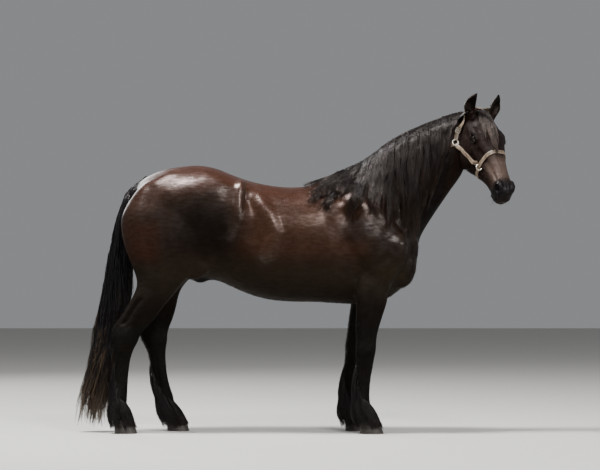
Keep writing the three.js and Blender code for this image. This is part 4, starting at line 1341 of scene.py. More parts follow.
@dataclass
class Strands:
    """Many strands of hair, each a closed three-sided sliver, worked out in the scene's metres.

    Attributes:
        paths: The middle of each strand at each station, strands by stations by 3.
        outward: The direction in which each strand's back faces, of the same shape.
        width: How wide each is at each station.
        thick: How thick each is at each station.
        colours: The linear colour of each strand at each station.
        roots: Where each strand's root lies on an unwrap of the skin, from 0 to 1 each way.
    """

    paths: Array
    outward: Array
    width: Array
    thick: Array
    colours: Array
    roots: Array
    patch: float = 0.003

    def build(self, name: str, material: bpy.types.Material) -> bpy.types.Object:
        """Makes the mesh of all strands, with its colours, its material and its map for the bake."""
        count, stations = self.paths.shape[:2]
        along = np.gradient(self.paths, axis=1)
        along = unit(along)
        back = unit(self.outward - np.sum(self.outward * along, axis=2, keepdims=True) * along)
        across = np.cross(along, back)
        half = (self.width / 2)[..., None] * across
        lift = self.thick[..., None] * back
        ring = np.stack([self.paths - half, self.paths + half, self.paths + lift], axis=2)
        at = ring.reshape(-1, 3)
        strand = np.arange(count)[:, None, None] * stations * 3
        station = np.arange(stations - 1)[None, :, None] * 3
        corner = np.arange(3)[None, None, :]
        a = strand + station + corner
        b = strand + station + (corner + 1) % 3
        sides = np.stack([a, b, b + 3, a + 3], axis=-1).reshape(-1, 4)
        start = (strand + np.array([2, 1, 0])[None, None, :]).reshape(-1, 3)
        end = (strand + (stations - 1) * 3 + corner).reshape(-1, 3)
        mesh = bpy.data.meshes.new(name)
        loops = np.concatenate([sides.ravel(), start.ravel(), end.ravel()]).astype(np.int32)
        sizes = np.concatenate([np.full(len(sides), 4), np.full(len(start) + len(end), 3)])
        mesh.vertices.add(len(at))
        mesh.vertices.foreach_set("co", at.astype(np.float32).ravel())
        mesh.loops.add(len(loops))
        mesh.loops.foreach_set("vertex_index", loops)
        mesh.polygons.add(len(sizes))
        mesh.polygons.foreach_set("loop_start", np.concatenate([[0], np.cumsum(sizes)[:-1]]).astype(np.int32))
        mesh.update(calc_edges=True)
        mesh.validate()
        spread = np.stack([np.tile(np.array([0.0, 0.5, 1.0]), (stations, 1)),
                           np.repeat(np.linspace(0, 1, stations)[:, None], 3, axis=1)], axis=-1)  # fmt: skip
        places = (self.roots[:, None, None, :] * (1 - self.patch) + self.patch * spread[None]).reshape(-1, 2)
        layer = mesh.uv_layers.new(name="OFBake")
        index = read_all(mesh.loops, "vertex_index", 1, np.int32)[:, 0]
        layer.data.foreach_set("uv", places[index].astype(np.float32).ravel())
        piece = bpy.data.objects.new(name, mesh)
        bpy.context.scene.collection.objects.link(piece)
        paint(piece, np.repeat(self.colours, 3, axis=1).reshape(-1, 3))
        spot = np.empty((count, stations, 3, 3))
        spot[..., 0] = (0.0, 1.0, 0.5)
        spot[..., 1] = np.linspace(0, 1, stations)[None, :, None]
        spot[..., 2] = (np.arange(count) * 0.618 % 1 * 97)[:, None, None]
        mark(piece, "strand", spot.reshape(-1, 3))
        mesh.polygons.foreach_set("use_smooth", np.ones(len(mesh.polygons), bool))
        mesh.update()
        mesh.materials.append(material)
        return piece


def taper(stations: Array, widest: float, root: float, tip: float) -> Array:
    """Returns how wide a strand is at each station, as a part of its greatest width."""
    return np.interp(stations, [0, widest, 1], [root, 1, tip]) ** 0.8


def strand_colours(chance: np.random.Generator, count: int, stations: Array, root: str, tip: str, fade: float) -> Array:
    """Gives each strand its colour from root to tip.

    Args:
        chance: The seeded source of chance.
        count: How many strands.
        stations: The stations along a strand, 0 to 1.
        root: The colour at the root.
        tip: The bleached colour at the tip.
        fade: From where on the tip's colour comes in.

    Returns:
        Linear colours, strands by stations by 3.
    """
    a, b = tone(root), tone(tip)
    start = fade + 0.25 * chance.random((count, 1))
    part = np.clip((stations[None, :] - start) / (1.05 - start), 0, 1)[..., None] * chance.random((count, 1, 1)) ** 1.4
    shade = 0.6 + 0.9 * chance.random((count, 1, 1))
    return (a + part * (b - a)) * shade


class RightFlank:
    """How far the right side of the skin reaches, seen from the side, for hair that hangs over it."""

    low = np.array((150.0, 1150.0))
    step = 8.0
    cells = (120, 110)

    def __init__(self, skin: bpy.types.Object) -> None:
        """Casts a ray at each point of a grid."""
        tree = BVHTree.FromObject(skin, bpy.context.evaluated_depsgraph_get())
        self.reach = np.full(self.cells, 40.0)
        aim = Vector((0, 1, 0))
        for i in range(self.cells[0]):
            for j in range(self.cells[1]):
                x, z = self.low + self.step * np.array((i, j))
                hit = tree.ray_cast(Vector((x * MM, -1.0, z * MM)), aim)[0]
                if hit is not None:
                    self.reach[i, j] = min(hit.y / MM - MEDIAN_Y, 40.0)

    def at(self, x: Array, z: Array) -> Array:
        """Returns the skin's y at places seen from the right, or 40 where there is none."""
        u = np.clip((x - self.low[0]) / self.step, 0, self.cells[0] - 1.001)
        v = np.clip((z - self.low[1]) / self.step, 0, self.cells[1] - 1.001)
        i, j = u.astype(int), v.astype(int)
        p, q = u - i, v - j
        grid = self.reach
        return (grid[i, j] * (1 - p) * (1 - q) + grid[i + 1, j] * p * (1 - q)
                + grid[i, j + 1] * (1 - p) * q + grid[i + 1, j + 1] * p * q)  # fmt: skip


@dataclass
class Mane:
    """The mane, in layers of wavy locks that all fall over the right side of the neck."""

    flank: RightFlank
    locks: int = 190
    strands: int = 16
    seed: int = 3

    def length(self, s: Array) -> Array:
        """Returns how long the mane is, from the withers at 0 to behind the ears at 1."""
        places = [0, 0.12, 0.22, 0.42, 0.55, 0.68, 0.8, 0.9, 1]
        return np.interp(s, places, [170, 220, 265, 430, 560, 620, 520, 430, 350])

    def crest(self, s: Array) -> Array:
        """Returns places along the roots, from the withers at 0 to between the ears at 1."""
        line = NECK.crest(np.linspace(0.05, 8, 60))
        line = np.concatenate([line, to_horse(HEAD.outside(np.array([(-34.0, 6.0, -14.0)])))])
        run = np.concatenate([[0], np.cumsum(np.linalg.norm(np.diff(line, axis=0), axis=1))])
        return np.stack([np.interp(s * run[-1], run, line[:, k]) for k in range(3)], 1)

    def layer(self, name: str, clear: float, reach: float, seed: int, tresses: int) -> bpy.types.Object:
        """Makes one layer, in tresses of some locks each, which wave together and run to a point.

        Args:
            name: The piece's name.
            clear: How far over the skin it lies, in millimetres.
            reach: How long it is beside the mane's full length.
            seed: The seed of its chances.
            tresses: How many tresses it has.

        Returns:
            The piece.
        """
        chance = np.random.default_rng(seed)
        locks = self.locks
        t = np.array([0, 0.03, 0.065, 0.11, 0.18, 0.28, 0.41, 0.56, 0.71, 0.86, 1.0])
        lock_s = np.clip((np.arange(locks) + chance.random(locks)) / locks, 0, 1)
        tress = np.clip((lock_s * tresses + 0.9 * (chance.random(locks) - 0.5)).astype(int), 0, tresses - 1)
        middle = np.bincount(tress, lock_s, tresses) / np.maximum(np.bincount(tress, minlength=tresses), 1)

        def both(low: float, high: float, own: float) -> Array:
            """Draws a number for each tress, and varies it a little for each of its locks."""
            shared = low + (high - low) * chance.random(tresses)
            return shared[tress] + own * (high - low) * (chance.random(locks) - 0.5)

        lock_length = self.length(lock_s) * (1 + (reach - 1) * ease(lock_s, 0.75, 0.5)) * both(0.62, 1.1, 0.35)
        lock_sweep = (24 + 150 * (1 - lock_s) ** 2) * both(0.3, 1.5, 0.3)
        wave, turn = (10 + 22 * (1.1 - lock_s)) * both(0.3, 1.0, 0.3), both(0, 6.3, 0.12)
        crimp, twist = both(3, 9, 0.3), both(0, 6.3, 0.1)
        width = 20 + 22 * chance.random(locks)
        lay = clear * both(0.6, 1.4, 0.3)
        owner = np.repeat(np.arange(locks), self.strands)
        count = len(owner)
        offset = (chance.random(count) - 0.5) * width[owner]
        s = np.clip(lock_s[owner] + offset / 1250, 0, 1)
        crest = self.crest(0.94 * s)
        inward = self.crest(0.94 * middle[tress[owner]])[:, :1] - crest[:, :1]
        length = lock_length[owner] * (0.86 + 0.2 * chance.random(count))
        start_y = (chance.random(count) - 0.35) * 34
        near = 0.7 * inward * ease(t[None], 0.15, 1.0) - 0.4 * offset[:, None] * t[None] ** 1.5
        run = length[:, None] * t[None]
        swing = wave[owner, None] * t[None] * np.sin(run / 48 + turn[owner, None])
        small = crimp[owner, None] * np.sin(run / 19 + twist[owner, None]) * t[None] ** 0.5
        stray = (chance.random((count, 1)) - 0.5) * 16 * t[None] ** 1.5
        x = crest[:, :1] - lock_sweep[owner, None] * t[None] ** 1.35 + near + swing + small + stray
        astray = chance.random(count) > 0.96
        rise = (5 + 5 * chance.random(count) + 5 * astray)[:, None] + 0.3 * clear
        over = np.clip(t[None] / 0.075, 0, 1)
        z = crest[:, 2:] - 7 + (rise + 7) * np.sin(over * np.pi / 2)
        z = z - length[:, None] * np.maximum(t[None] - 0.06, 0) ** 1.08
        # the hair stays behind the halter's crown strap and follows the under side of the neck
        past = x - np.interp(z, [1300, 1760, 1826, 1922, 1946, 1975], [760, 925, 931, 975, 1040, 1085])
        x = np.where(past > 0, x - past + 30 * (1 - np.exp(-past / 30)), x)
        skin = self.flank.at(x, np.minimum(z, crest[:, 2:] - 2))
        fall = ease(t[None], 0.03, 0.13)
        hang = np.minimum(skin, -3.0) - lay[owner, None] * (0.4 + 0.6 * ease(t[None], 0.05, 0.3))
        hang = hang - 0.8 * crimp[owner, None] * (1 + np.sin(run / 23 + twist[owner, None])) * ease(t[None], 0.05, 0.3)
        y = (1 - fall) * (crest[:, 1:2] + start_y[:, None] * (1 - over)) + fall * hang
        y = np.where(t[None] < 0.03, crest[:, 1:2] + start_y[:, None] * (1 - over), y)
        paths = to_scene(np.stack([x, y, z], axis=2))
        aims = (np.zeros_like(t), -ease(t, -0.05, 0.1), ease(t, 0.25, 0.0))
        outward = np.stack([np.broadcast_to(aim, x.shape) for aim in aims], axis=2)
        form = taper(t, 0.3, 0.7, 0.12)
        width = (3.0 + 2.2 * chance.random((count, 1))) * form[None] * MM * np.where(astray, 0.35, 1.0)[:, None]
        colours = strand_colours(chance, count, t, "#100c0b", "#3a291f", 0.66)
        colours *= both(0.7, 1.35, 0.3)[owner, None, None]
        roots = np.c_[s, 0.5 + start_y / 40]
        material = LongHair("mane hair, " + name.split("_")[-1] + " layer", 0.33, 0.3).material()
        return Strands(paths, outward, width, 0.28 * width, colours, np.clip(roots, 0, 1)).build(name, material)

    def build(self) -> list[bpy.types.Object]:
        """Makes its layers from the skin outwards."""
        return [
            self.layer("mane_under", 5, 0.9, self.seed, 70),
            self.layer("mane_middle", 11, 1.1, self.seed + 1, 46),
            self.layer("mane_over", 19, 1.3, self.seed + 2, 30),
        ]


@dataclass
class Forelock:
    """The forelock, which falls between the ears over the forehead."""

    skin: bpy.types.Object
    strands: int = 1500
    seed: int = 17

    def build(self) -> bpy.types.Object:
        """Makes the piece."""
        chance = np.random.default_rng(self.seed)
        count = self.strands
        t = np.linspace(0, 1, 13)
        lock = chance.integers(0, 13, count)
        lock_across = (chance.random(13) - 0.5) * 2
        lock_length = 210 + 130 * chance.random(13)
        turn = 6.3 * chance.random(13)
        spread = (chance.random(count) - 0.5) * 22
        across0 = lock_across[lock] * 30
        x0 = -3 + 42 * chance.random(count)
        length = lock_length[lock] * (0.85 + 0.25 * chance.random(count)) * (1 - 0.22 * lock_across[lock] ** 2)
        x = x0[:, None] + length[:, None] * t[None]
        fan = across0[:, None] * (1 + 0.1 * t[None]) + spread[:, None] * (1 - 0.6 * t[None]) - 34 * t[None] ** 0.8
        y = fan + (5 + 5 * t[None]) * np.sin(5 * t[None] + turn[lock, None]) * t[None] + 4 * t[None]
        rest = row_at(np.array(HEAD.rows, float), x.ravel()).reshape(*x.shape, -1)
        arch = np.clip(1 - (np.abs(y) / rest[..., 4]) ** rest[..., 5], 0, 1) ** (1 / rest[..., 5])
        ground = rest[..., 2] + (rest[..., 1] - rest[..., 2]) * arch
        lay = 5 + 11 * chance.random((count, 1))
        z = ground - 5 + (5 + lay) * np.sin(np.clip(t[None] / 0.12, 0, 1) * np.pi / 2) + 5 * np.sin(np.pi * t[None])
        paths = HEAD.outside(np.stack([x, y, z], 2).reshape(-1, 3)).reshape(count, len(t), 3)
        outward = np.tile(HEAD.heading((0, 0, 1)), (count, len(t), 1))
        width = (2.6 + 1.8 * chance.random((count, 1))) * taper(t, 0.3, 0.7, 0.12)[None] * MM
        colours = strand_colours(chance, count, t, "#16110f", "#4d3f38", 0.25)
        roots = np.c_[(x0 + 3) / 42, 0.5 + (across0 + spread) / 90]
        material = LongHair("forelock hair").material()
        return Strands(paths, outward, width, 0.28 * width, colours, np.clip(roots, 0, 1)).build("forelock", material)


@dataclass
class Tail:
    """The tail: hair that grows all along the dock and hangs almost to the ground."""

    rows: Rows = (
        (1556, -890, 40, 0, 40), (1520, -930, 84, 0, 64), (1458, -988, 92, 0, 84), (1391, -1014, 94, 0, 94),
        (1324, -1033, 96, 0, 104), (1250, -1045, 110, 0, 120), (1110, -1055, 131, 0, 136),
        (946, -1071, 153, 0, 146), (848, -1082, 168, 0, 152), (659, -1117, 173, 0, 156),
        (506, -1155, 170, 0, 158), (354, -1178, 190, 0, 162), (189, -1210, 232, 0, 166),
        (110, -1222, 236, 0, 168), (30, -1228, 236, 0, 168),
    )  # fmt: skip
    slim: tuple[tuple[float, ...], tuple[float, ...]] = ((1250, 1450, 1540), (0.42, 0.7, 0.55))  # dock beside hair
    locks: int = 120
    strands: int = 26
    tresses: int = 30
    seed: int = 29

    def dock(self) -> bpy.types.Object:
        """Models the fleshy dock inside the hair."""
        rows = np.array(self.rows[:6], float)

        def section(u: Array) -> Section:
            """Returns the dock's level sections."""
            z, x, depth, y, width = between(rows, u).T
            across, along = tiled(SIDEWAYS, len(u)), tiled(FORWARDS, len(u))
            two = np.full(len(u), 2.0)
            slim = np.interp(z, *self.slim)
            return Section(
                np.stack([x, y, z], 1), across, along, slim * width / 2, slim * depth / 2, slim * depth / 2, two, two
            )

        dock = loft(len(rows), 3, 24, section, HORSE, (6, 12))
        dock.name = "tail_dock"
        choose(dock)
        bpy.ops.object.shade_smooth()
        paint(dock, np.tile(tone("#0d0b0b"), (len(dock.data.vertices), 1)))
        dock.data.materials.append(LongHair("hair at the dock").material())
        return dock

    def layer(self, name: str, inner: float, outer: float, seed: int) -> bpy.types.Object:
        """Makes the hair whose place in the tail is from inner to outer, as parts of its reach."""
        chance = np.random.default_rng(seed)
        locks = self.locks
        t = np.linspace(0, 1, 11) ** 1.15
        root = 1560 - 420 * chance.random(locks) ** 1.6
        tress = np.arange(locks) % self.tresses
        tip = (30 + 400 * chance.random(self.tresses) ** 1.4)[tress] + 300 * chance.random(locks) ** 2
        angle = 2 * np.pi * ((tress * 0.618 + 0.16 * (chance.random(locks) - 0.5)) % 1)
        goal = 2 * np.pi * ((tress * 0.618) % 1)
        goal += 2 * np.pi * np.round((angle - goal) / (2 * np.pi))
        far = (inner + (outer + 0.06 - inner) * chance.random(self.tresses))[tress]
        spread = inner + (outer - inner) * chance.random(locks)
        wave, turn = (7 + 15 * chance.random(self.tresses))[tress], (6.3 * chance.random(self.tresses))[tress]
        turn = turn + 0.8 * chance.random(locks)
        owner = np.repeat(np.arange(locks), self.strands)
        count = len(owner)
        high = np.minimum(root[owner] + 26 * (chance.random(count) - 0.5), 1562)
        low = np.maximum(tip[owner] + 170 * (chance.random(count) - 0.35), 30 + 60 * chance.random(count))
        around = angle[owner] + 0.55 * (chance.random(count) - 0.5)
        part = spread[owner] + 0.16 * (chance.random(count) - 0.5)
        close = 0.72 * chance.random(count) ** 0.6
        z = high[:, None] + (low - high)[:, None] * t[None]
        row = row_at(np.array(self.rows, float), z.ravel()).reshape(*z.shape, -1)
        drop = high[:, None] - z
        run = close[:, None] * ease(z, 900, 150)
        close_by = np.interp(z, self.slim[0], self.slim[1]) + 0.1
        grow = close_by + (np.maximum(part[:, None], close_by) - close_by) * ease(drop, 0, 260)
        grow = grow + (far[owner, None] - grow) * run
        bearing = around[:, None] + (goal[owner] - around)[:, None] * run
        swing = wave[owner, None] * ease(drop, 60, 500)
        x = row[..., 1] + grow * np.cos(bearing) * row[..., 2] / 2
        y = row[..., 3] + grow * np.sin(bearing) * row[..., 4] / 2
        x = x + swing * np.sin(drop / 95 + turn[owner, None]) + 2.5 * np.sin(drop / 34 + 3 * turn[owner, None])
        y = y + 0.9 * swing * np.cos(drop / 62 + turn[owner, None]) + 2.5 * np.cos(drop / 38 + 2 * turn[owner, None])
        paths = to_scene(np.stack([x, y, z], axis=2))
        out = np.stack([np.cos(around), np.sin(around), np.zeros(count)], 1)
        outward = np.repeat(out[:, None], len(t), axis=1)
        width = (3.6 + 2.8 * chance.random((count, 1))) * taper(t, 0.35, 0.6, 0.1)[None] * MM
        colours = strand_colours(chance, count, t, "#0c0b0d", "#75604c", 0.68)
        colours *= (0.7 + 0.6 * chance.random(self.tresses))[tress[owner], None, None]
        roots = np.c_[(around / (2 * np.pi)) % 1, (1560 - high) / 460]
        material = LongHair("tail hair, " + name.split("_")[-1] + " part", 0.33, 0.5).material()
        return Strands(paths, outward, width, 0.3 * width, colours, np.clip(roots, 0, 1)).build(name, material)

    def build(self) -> list[bpy.types.Object]:
        """Makes the dock and the hair."""
        return [
            self.dock(),
            self.layer("tail_inner", 0.15, 0.7, self.seed),
            self.layer("tail_outer", 0.6, 0.95, self.seed + 1),
        ]


@dataclass
class Feather:
    """The feather of one leg: hair from below the knee or hock that falls all round the pastern and over the hoof."""

    leg: Leg
    strands: int = 1400
    seed: int = 41

    def ring(self, rows: Array, z: Array, around: Array, grow: Array) -> Array:
        """Returns places round the leg at given levels, angles and distances off the skin."""
        _, x, depth, y, width, _ = row_at(rows, z).T
        return np.stack([x + (depth / 2 + grow) * np.cos(around), y + (width / 2 + grow) * np.sin(around), z], 1)

    def build(self) -> bpy.types.Object:
        """Makes the piece."""
        chance = np.random.default_rng(self.seed)
        count = self.strands
        t = np.linspace(0, 1, 8)
        lock = chance.integers(0, 90, count)
        lock_round = (chance.random(90) - 0.5) * 2 * np.pi
        around = lock_round[lock] + 0.22 * (chance.random(count) - 0.5)
        back = np.maximum(0, -np.cos(around))
        front = np.maximum(0, np.cos(around))
        top = 236 - 50 * front + 200 * back**1.5
        high = 112 + (top - 112) * chance.random(count) ** 0.85
        reach = 90 + 90 * back + 60 * chance.random(count)
        floor = 16 + 16 * chance.random(count) + 12 * front + 26 * (chance.random(90) ** 2)[lock]
        low = np.maximum(np.minimum(high - reach, 150), floor)
        low = np.minimum(low, high - 34)
        hoof = np.array([(z, self.leg.foot[0] + a * self.leg.size, d * self.leg.size, self.leg.foot[1],
                          w * self.leg.size, q) for z, a, d, w, q in Hoof.rows])  # fmt: skip
        legs = self.leg.rows()
        start = self.ring(legs, high, around, np.full(count, -3.0))
        lay = 4 + 7 * chance.random(count) + (10 + 12 * chance.random(count)) * back
        on_hoof = self.ring(hoof, np.minimum(low, 118), around, lay)
        on_leg = self.ring(legs, low, around, lay)
        part = ease(low, 150, 105)[:, None]
        end = on_leg * (1 - part) + on_hoof * part
        out = np.stack([np.cos(around), np.sin(around), np.zeros(count)], 1)
        puff = (9 + 9 * back + 4 * chance.random(count))[:, None] * np.sin(np.pi * np.minimum(t * 1.15, 1)) ** 0.8
        curve = t**1.25
        turn = (6.3 * chance.random(90))[lock]
        sway = 3.5 * t * np.sin(4.5 * t + turn[:, None])
        side = np.stack([-np.sin(around), np.cos(around), np.zeros(count)], 1)
        flat = start[:, None, :2] + (end - start)[:, None, :2] * curve[None, :, None]
        level = high[:, None] + (low - high)[:, None] * t
        paths = np.concatenate([flat, level[..., None]], axis=2)
        paths += out[:, None] * puff[..., None] + side[:, None] * sway[..., None]
        outward = np.repeat(out[:, None], len(t), axis=1)
        width = (3.0 + 2.0 * chance.random((count, 1))) * taper(t, 0.35, 0.7, 0.12)[None] * MM
        colours = strand_colours(chance, count, t, "#0d0b0c", "#2f231d", 0.7)
        roots = np.c_[(around / (2 * np.pi)) % 1, (high - 100) / 350]
        name = f"feather_{self.leg.name}"
        strands = Strands(to_scene(paths), outward, width, 0.3 * width, colours, np.clip(roots, 0, 1))
        return strands.build(name, LongHair("feather hair").material())


def unwrap(at: Array) -> Array:
    """Unrolls the skin about trunk, legs and head, each in a field of its own, for points of the scene.

    Args:
        at: The points.

    Returns:
        Places from 0 to 1 each way.
    """
    here, head = to_horse(at), HEAD.inside(at)
    turn = (np.arctan2(here[:, 2] - 1200, here[:, 1]) / (2 * np.pi)) % 1
    out = np.c_[0.01 + 0.98 * np.clip((here[:, 0] + 1000) / 2150, 0, 1), 0.52 + 0.46 * turn]
    for number, leg in enumerate(LEGS):
        row = row_at(leg.rows(), here[:, 2])
        near = (np.abs(here[:, 0] - row[:, 1]) < 200) & (np.abs(here[:, 1] - row[:, 3]) < 110) & (here[:, 2] < 860)
        turn = (np.arctan2(here[:, 1] - row[:, 3], here[:, 0] - row[:, 1]) / (2 * np.pi)) % 1
        spot = np.c_[0.01 + 0.18 * turn + 0.2 * number, 0.01 + 0.46 * np.clip(here[:, 2] / 900, 0, 1)]
        out[near] = spot[near]
    face = (head[:, 0] > -40) & (np.abs(head[:, 1]) < 150) & (here[:, 2] > 1350)
    turn = (np.arctan2(head[:, 2] + 110, head[:, 1]) / (2 * np.pi)) % 1
    spot = np.c_[0.81 + 0.18 * turn, 0.01 + 0.46 * np.clip((head[:, 0] + 40) / 680, 0, 1)]
    out[face] = spot[face]
    return out


@dataclass
class Tufts:
    """Short tufts of the coat, where its hair breaks the form: belly, breast, fetlocks, backs of legs, jaw and ears."""

    skin: bpy.types.Object
    count: int = 9000
    tries: int = 400000  # places looked at, of which some are kept
    seed: int = 53

    def sample(self, chance: np.random.Generator, count: int) -> tuple[Array, Array]:
        """Picks places on the skin, evenly by area, and the normals there."""
        mesh = self.skin.data
        mesh.calc_loop_triangles()
        corners = read_all(mesh.loop_triangles, "vertices", 3, np.int32)
        at, normals = points_of(self.skin), normals_of(self.skin)
        a, b, c = at[corners[:, 0]], at[corners[:, 1]], at[corners[:, 2]]
        area = np.linalg.norm(np.cross(b - a, c - a), axis=1)
        pick = chance.choice(len(area), count, p=area / area.sum())
        p, q = chance.random(count), chance.random(count)
        p, q = np.where(p + q > 1, 1 - p, p)[:, None], np.where(p + q > 1, 1 - q, q)[:, None]
        return a[pick] + p * (b - a)[pick] + q * (c - a)[pick], unit(normals[corners[pick]].mean(axis=1))

    def build(self) -> bpy.types.Object:
        """Makes the piece."""
        chance = np.random.default_rng(self.seed)
        at, normals = self.sample(chance, self.tries)
        here, head = to_horse(at), HEAD.inside(at)
        x, y, z = here.T
        g, h, k = head.T
        on_head = (g > -20) & (np.abs(h) < 150) & (z > 1350)
        facing = HEAD.turned(normals)
        seal = (to_pair(head, HEAD.eye) > 40) & ~(on_head & (g > 500))
        ear = on_head & (k > 8) & (np.abs(h) > 30) & (g < 110)
        leg = (z < 860) & (np.abs(y) > 40)
        kinds = (
            # where, how dense, how long, how far it stands off
            (~on_head & (normals[:, 2] < -0.7) & (np.abs(y) < 70), 0.6, 15, 0.2),
            (~on_head & (x > 600) & (z < 1180) & (np.abs(y) < 130), 0.12, 20, 0.22),
            (leg & (z > 110) & (z < 420), 0.25, 14, 0.14),
            (leg & (normals[:, 0] < -0.4) & (z > 300), 0.9 * ease(z, 740, 540), 24, 0.24),
            (on_head & (facing[:, 2] < -0.45) & (g < 300) & (k < -190) & seal, 0.8, 14, 0.2),
            (ear, 0.8, 8, 0.08),
        )
        dense, length, stand = np.zeros(len(at)), np.full(len(at), 10.0), np.full(len(at), 0.15)
        for where, share, size, off in kinds:
            dense, length = np.where(where, share, dense), np.where(where, size, length)
            stand = np.where(where, off, stand)
        keep = np.flatnonzero(chance.random(len(at)) < dense)
        keep = keep[: self.count]
        at, normals, length, stand = at[keep], normals[keep], length[keep], stand[keep]
        lie = np.tile((-0.85, 0.0, -0.5), (len(at), 1))
        lie[leg[keep]] = (-0.15, 0, -1)
        lie[on_head[keep]] = HEAD.heading((0.85, 0, -0.5))
        lie[ear[keep]] = HEAD.heading((-0.25, 0, 0.95))
        lie = unit(lie + 0.25 * chance.normal(size=lie.shape))
        lie = unit(lie - np.sum(lie * normals, axis=1, keepdims=True) * normals)
        t = np.array([0, 0.35, 0.7, 1.0])
        length = length * (0.6 + 0.8 * chance.random(len(at))) * MM
        rise = -0.0012 + length[:, None] * stand[:, None] * np.sin(t * 1.9)[None] * 0.9 + 0.0012 * (t > 0)
        paths = at[:, None] + (length[:, None] * t[None])[..., None] * lie[:, None] + rise[..., None] * normals[:, None]
        outward = np.repeat(normals[:, None], 4, axis=1)
        width = np.clip(length * 0.11, 0.0007, 0.0018)[:, None] * np.array([0.8, 1.0, 0.7, 0.12])[None]
        shade = (0.75 + 0.6 * chance.random((len(at), 1, 1))) * np.ones((1, 4, 1))
        # the skin's colours at the roots, painted light and shade included
        colours = coat_colour(at, normals)[:, None] * shade
        material = LongHair("tufts of the short coat", 0.6, 0.12, 4.0).material()
        return Strands(paths, outward, width, 0.3 * width, colours, unwrap(at)).build("coat_tufts", material)


@dataclass
class FaceHair:
    """Eyelashes, and the whiskers round muzzle and chin."""

    skin: bpy.types.Object
    lashes: int = 34
    whiskers: int = 46
    seed: int = 61

    def build(self) -> bpy.types.Object:
        """Makes the piece."""
        chance = np.random.default_rng(self.seed)
        tree = BVHTree.FromObject(self.skin, bpy.context.evaluated_depsgraph_get())
        t = np.linspace(0, 1, 5)
        roots, leads, lengths, widths = [], [], [], []
        for side in Side:
            s = side.value
            for part in np.linspace(0.18, 0.9, self.lashes):
                turn = np.pi * part
                x, z = HEAD.eye[0] - 23 * math.cos(turn), HEAD.eye[2] + 15 * math.sin(turn) + 1.5
                fall = max(0.0, 1 - ((x - HEAD.eye[0]) / 34) ** 2 - ((z - HEAD.eye[2]) / 27) ** 2)
                roots.append((x, s * (HEAD.eye[1] - 3 + 28 * math.sqrt(fall)), z))
                leads.append((-0.4 * math.cos(turn), s * 0.9, 0.1 + 0.3 * chance.random()))
                lengths.append(9 + 5 * chance.random())
                widths.append(0.7)
        for _ in range(self.whiskers):
            s = 1 if chance.random() < 0.5 else -1
            roots.append((530 + 70 * chance.random(), s * 60 * chance.random(), -118 - 70 * chance.random()))
            leads.append((0.35 * chance.normal(), s * (0.3 + 0.6 * chance.random()), -0.7))
            lengths.append(16 + 22 * chance.random())
            widths.append(0.6)
        roots, leads = HEAD.outside(np.array(roots)), np.array([HEAD.heading(lead) for lead in leads])
        lashes = 2 * self.lashes
        for i in range(lashes, len(roots)):
            spot, normal, _, _ = tree.find_nearest(Vector(roots[i]))
            roots[i] = np.array(spot) - np.array(normal) * 0.001
            leads[i] = unit(np.array(normal) + 0.4 * leads[i])
        length = np.array(lengths)[:, None] * MM
        paths = roots[:, None] + (length * t[None])[..., None] * leads[:, None]
        paths[..., 2] -= 0.3 * length * t[None] ** 2
        outward = np.repeat(unit(np.cross(leads, (0.3, 0.2, 0.9)))[:, None], len(t), axis=1)
        width = np.array(widths)[:, None] * np.array([1, 0.9, 0.7, 0.45, 0.15])[None] * MM
        colours = np.tile(tone("#0a0808"), (len(roots), len(t), 1))
        strands = Strands(paths, outward, width, 0.8 * width, colours, unwrap(roots))
        return strands.build("lashes_and_whiskers", LongHair("lashes and whiskers").material())


# ---------------------------------------------------------------- eyes, hooves, halter


@dataclass
class Eye:
    """One eyeball, whose poles lie on its line of sight."""

    side: Side
    pupil: tuple[float, float] = (0.42, 0.16)  # half its width and height, as parts of the radius
    iris: float = 0.66

    def build(self) -> bpy.types.Object:
        """Models the eyeball with a cornea that stands out a little."""
        radius = HEAD.eye_radius
        bpy.ops.mesh.primitive_uv_sphere_add(segments=64, ring_count=40, radius=1)
        piece = bpy.context.object
        ball = points_of(piece)
        bulge = 1 + 0.05 * ease(ball[:, 2], 0.6, 1.0)
        s = self.side.value
        sight = unit(np.array((0.16, s * 1.0, 0.1)))
        level = unit(np.cross(np.cross(sight, (1.0, 0, -0.35)), sight))
        over = np.cross(sight, level)
        spots = radius * (ball[:, :1] * level + ball[:, 1:2] * over + (ball[:, 2] * bulge)[:, None] * sight)
        x, y, z = HEAD.eye
        move_points(piece, HEAD.outside(spots + (x, s * y, z)))
        off = np.hypot(ball[:, 0], ball[:, 1])
        colour = np.tile(tone("#1f1512"), (len(ball), 1))
        front = ball[:, 2] > 0
        iris = ease(off, self.iris + 0.04, self.iris - 0.02) * front
        colour = blend(colour, "#1d0d06", iris)
        across, tall = self.pupil
        hole = ease(np.hypot(ball[:, 0] / across, ball[:, 1] / tall), 1.15, 0.9) * front
        colour = blend(colour, "#030303", hole)
        piece.name = piece.data.name = f"eyeball_{self.side.name.lower()}"
        face_out(piece)
        bpy.ops.object.shade_smooth()
        paint(piece, colour)
        piece.data.materials.append(WetEye().material())
        return piece


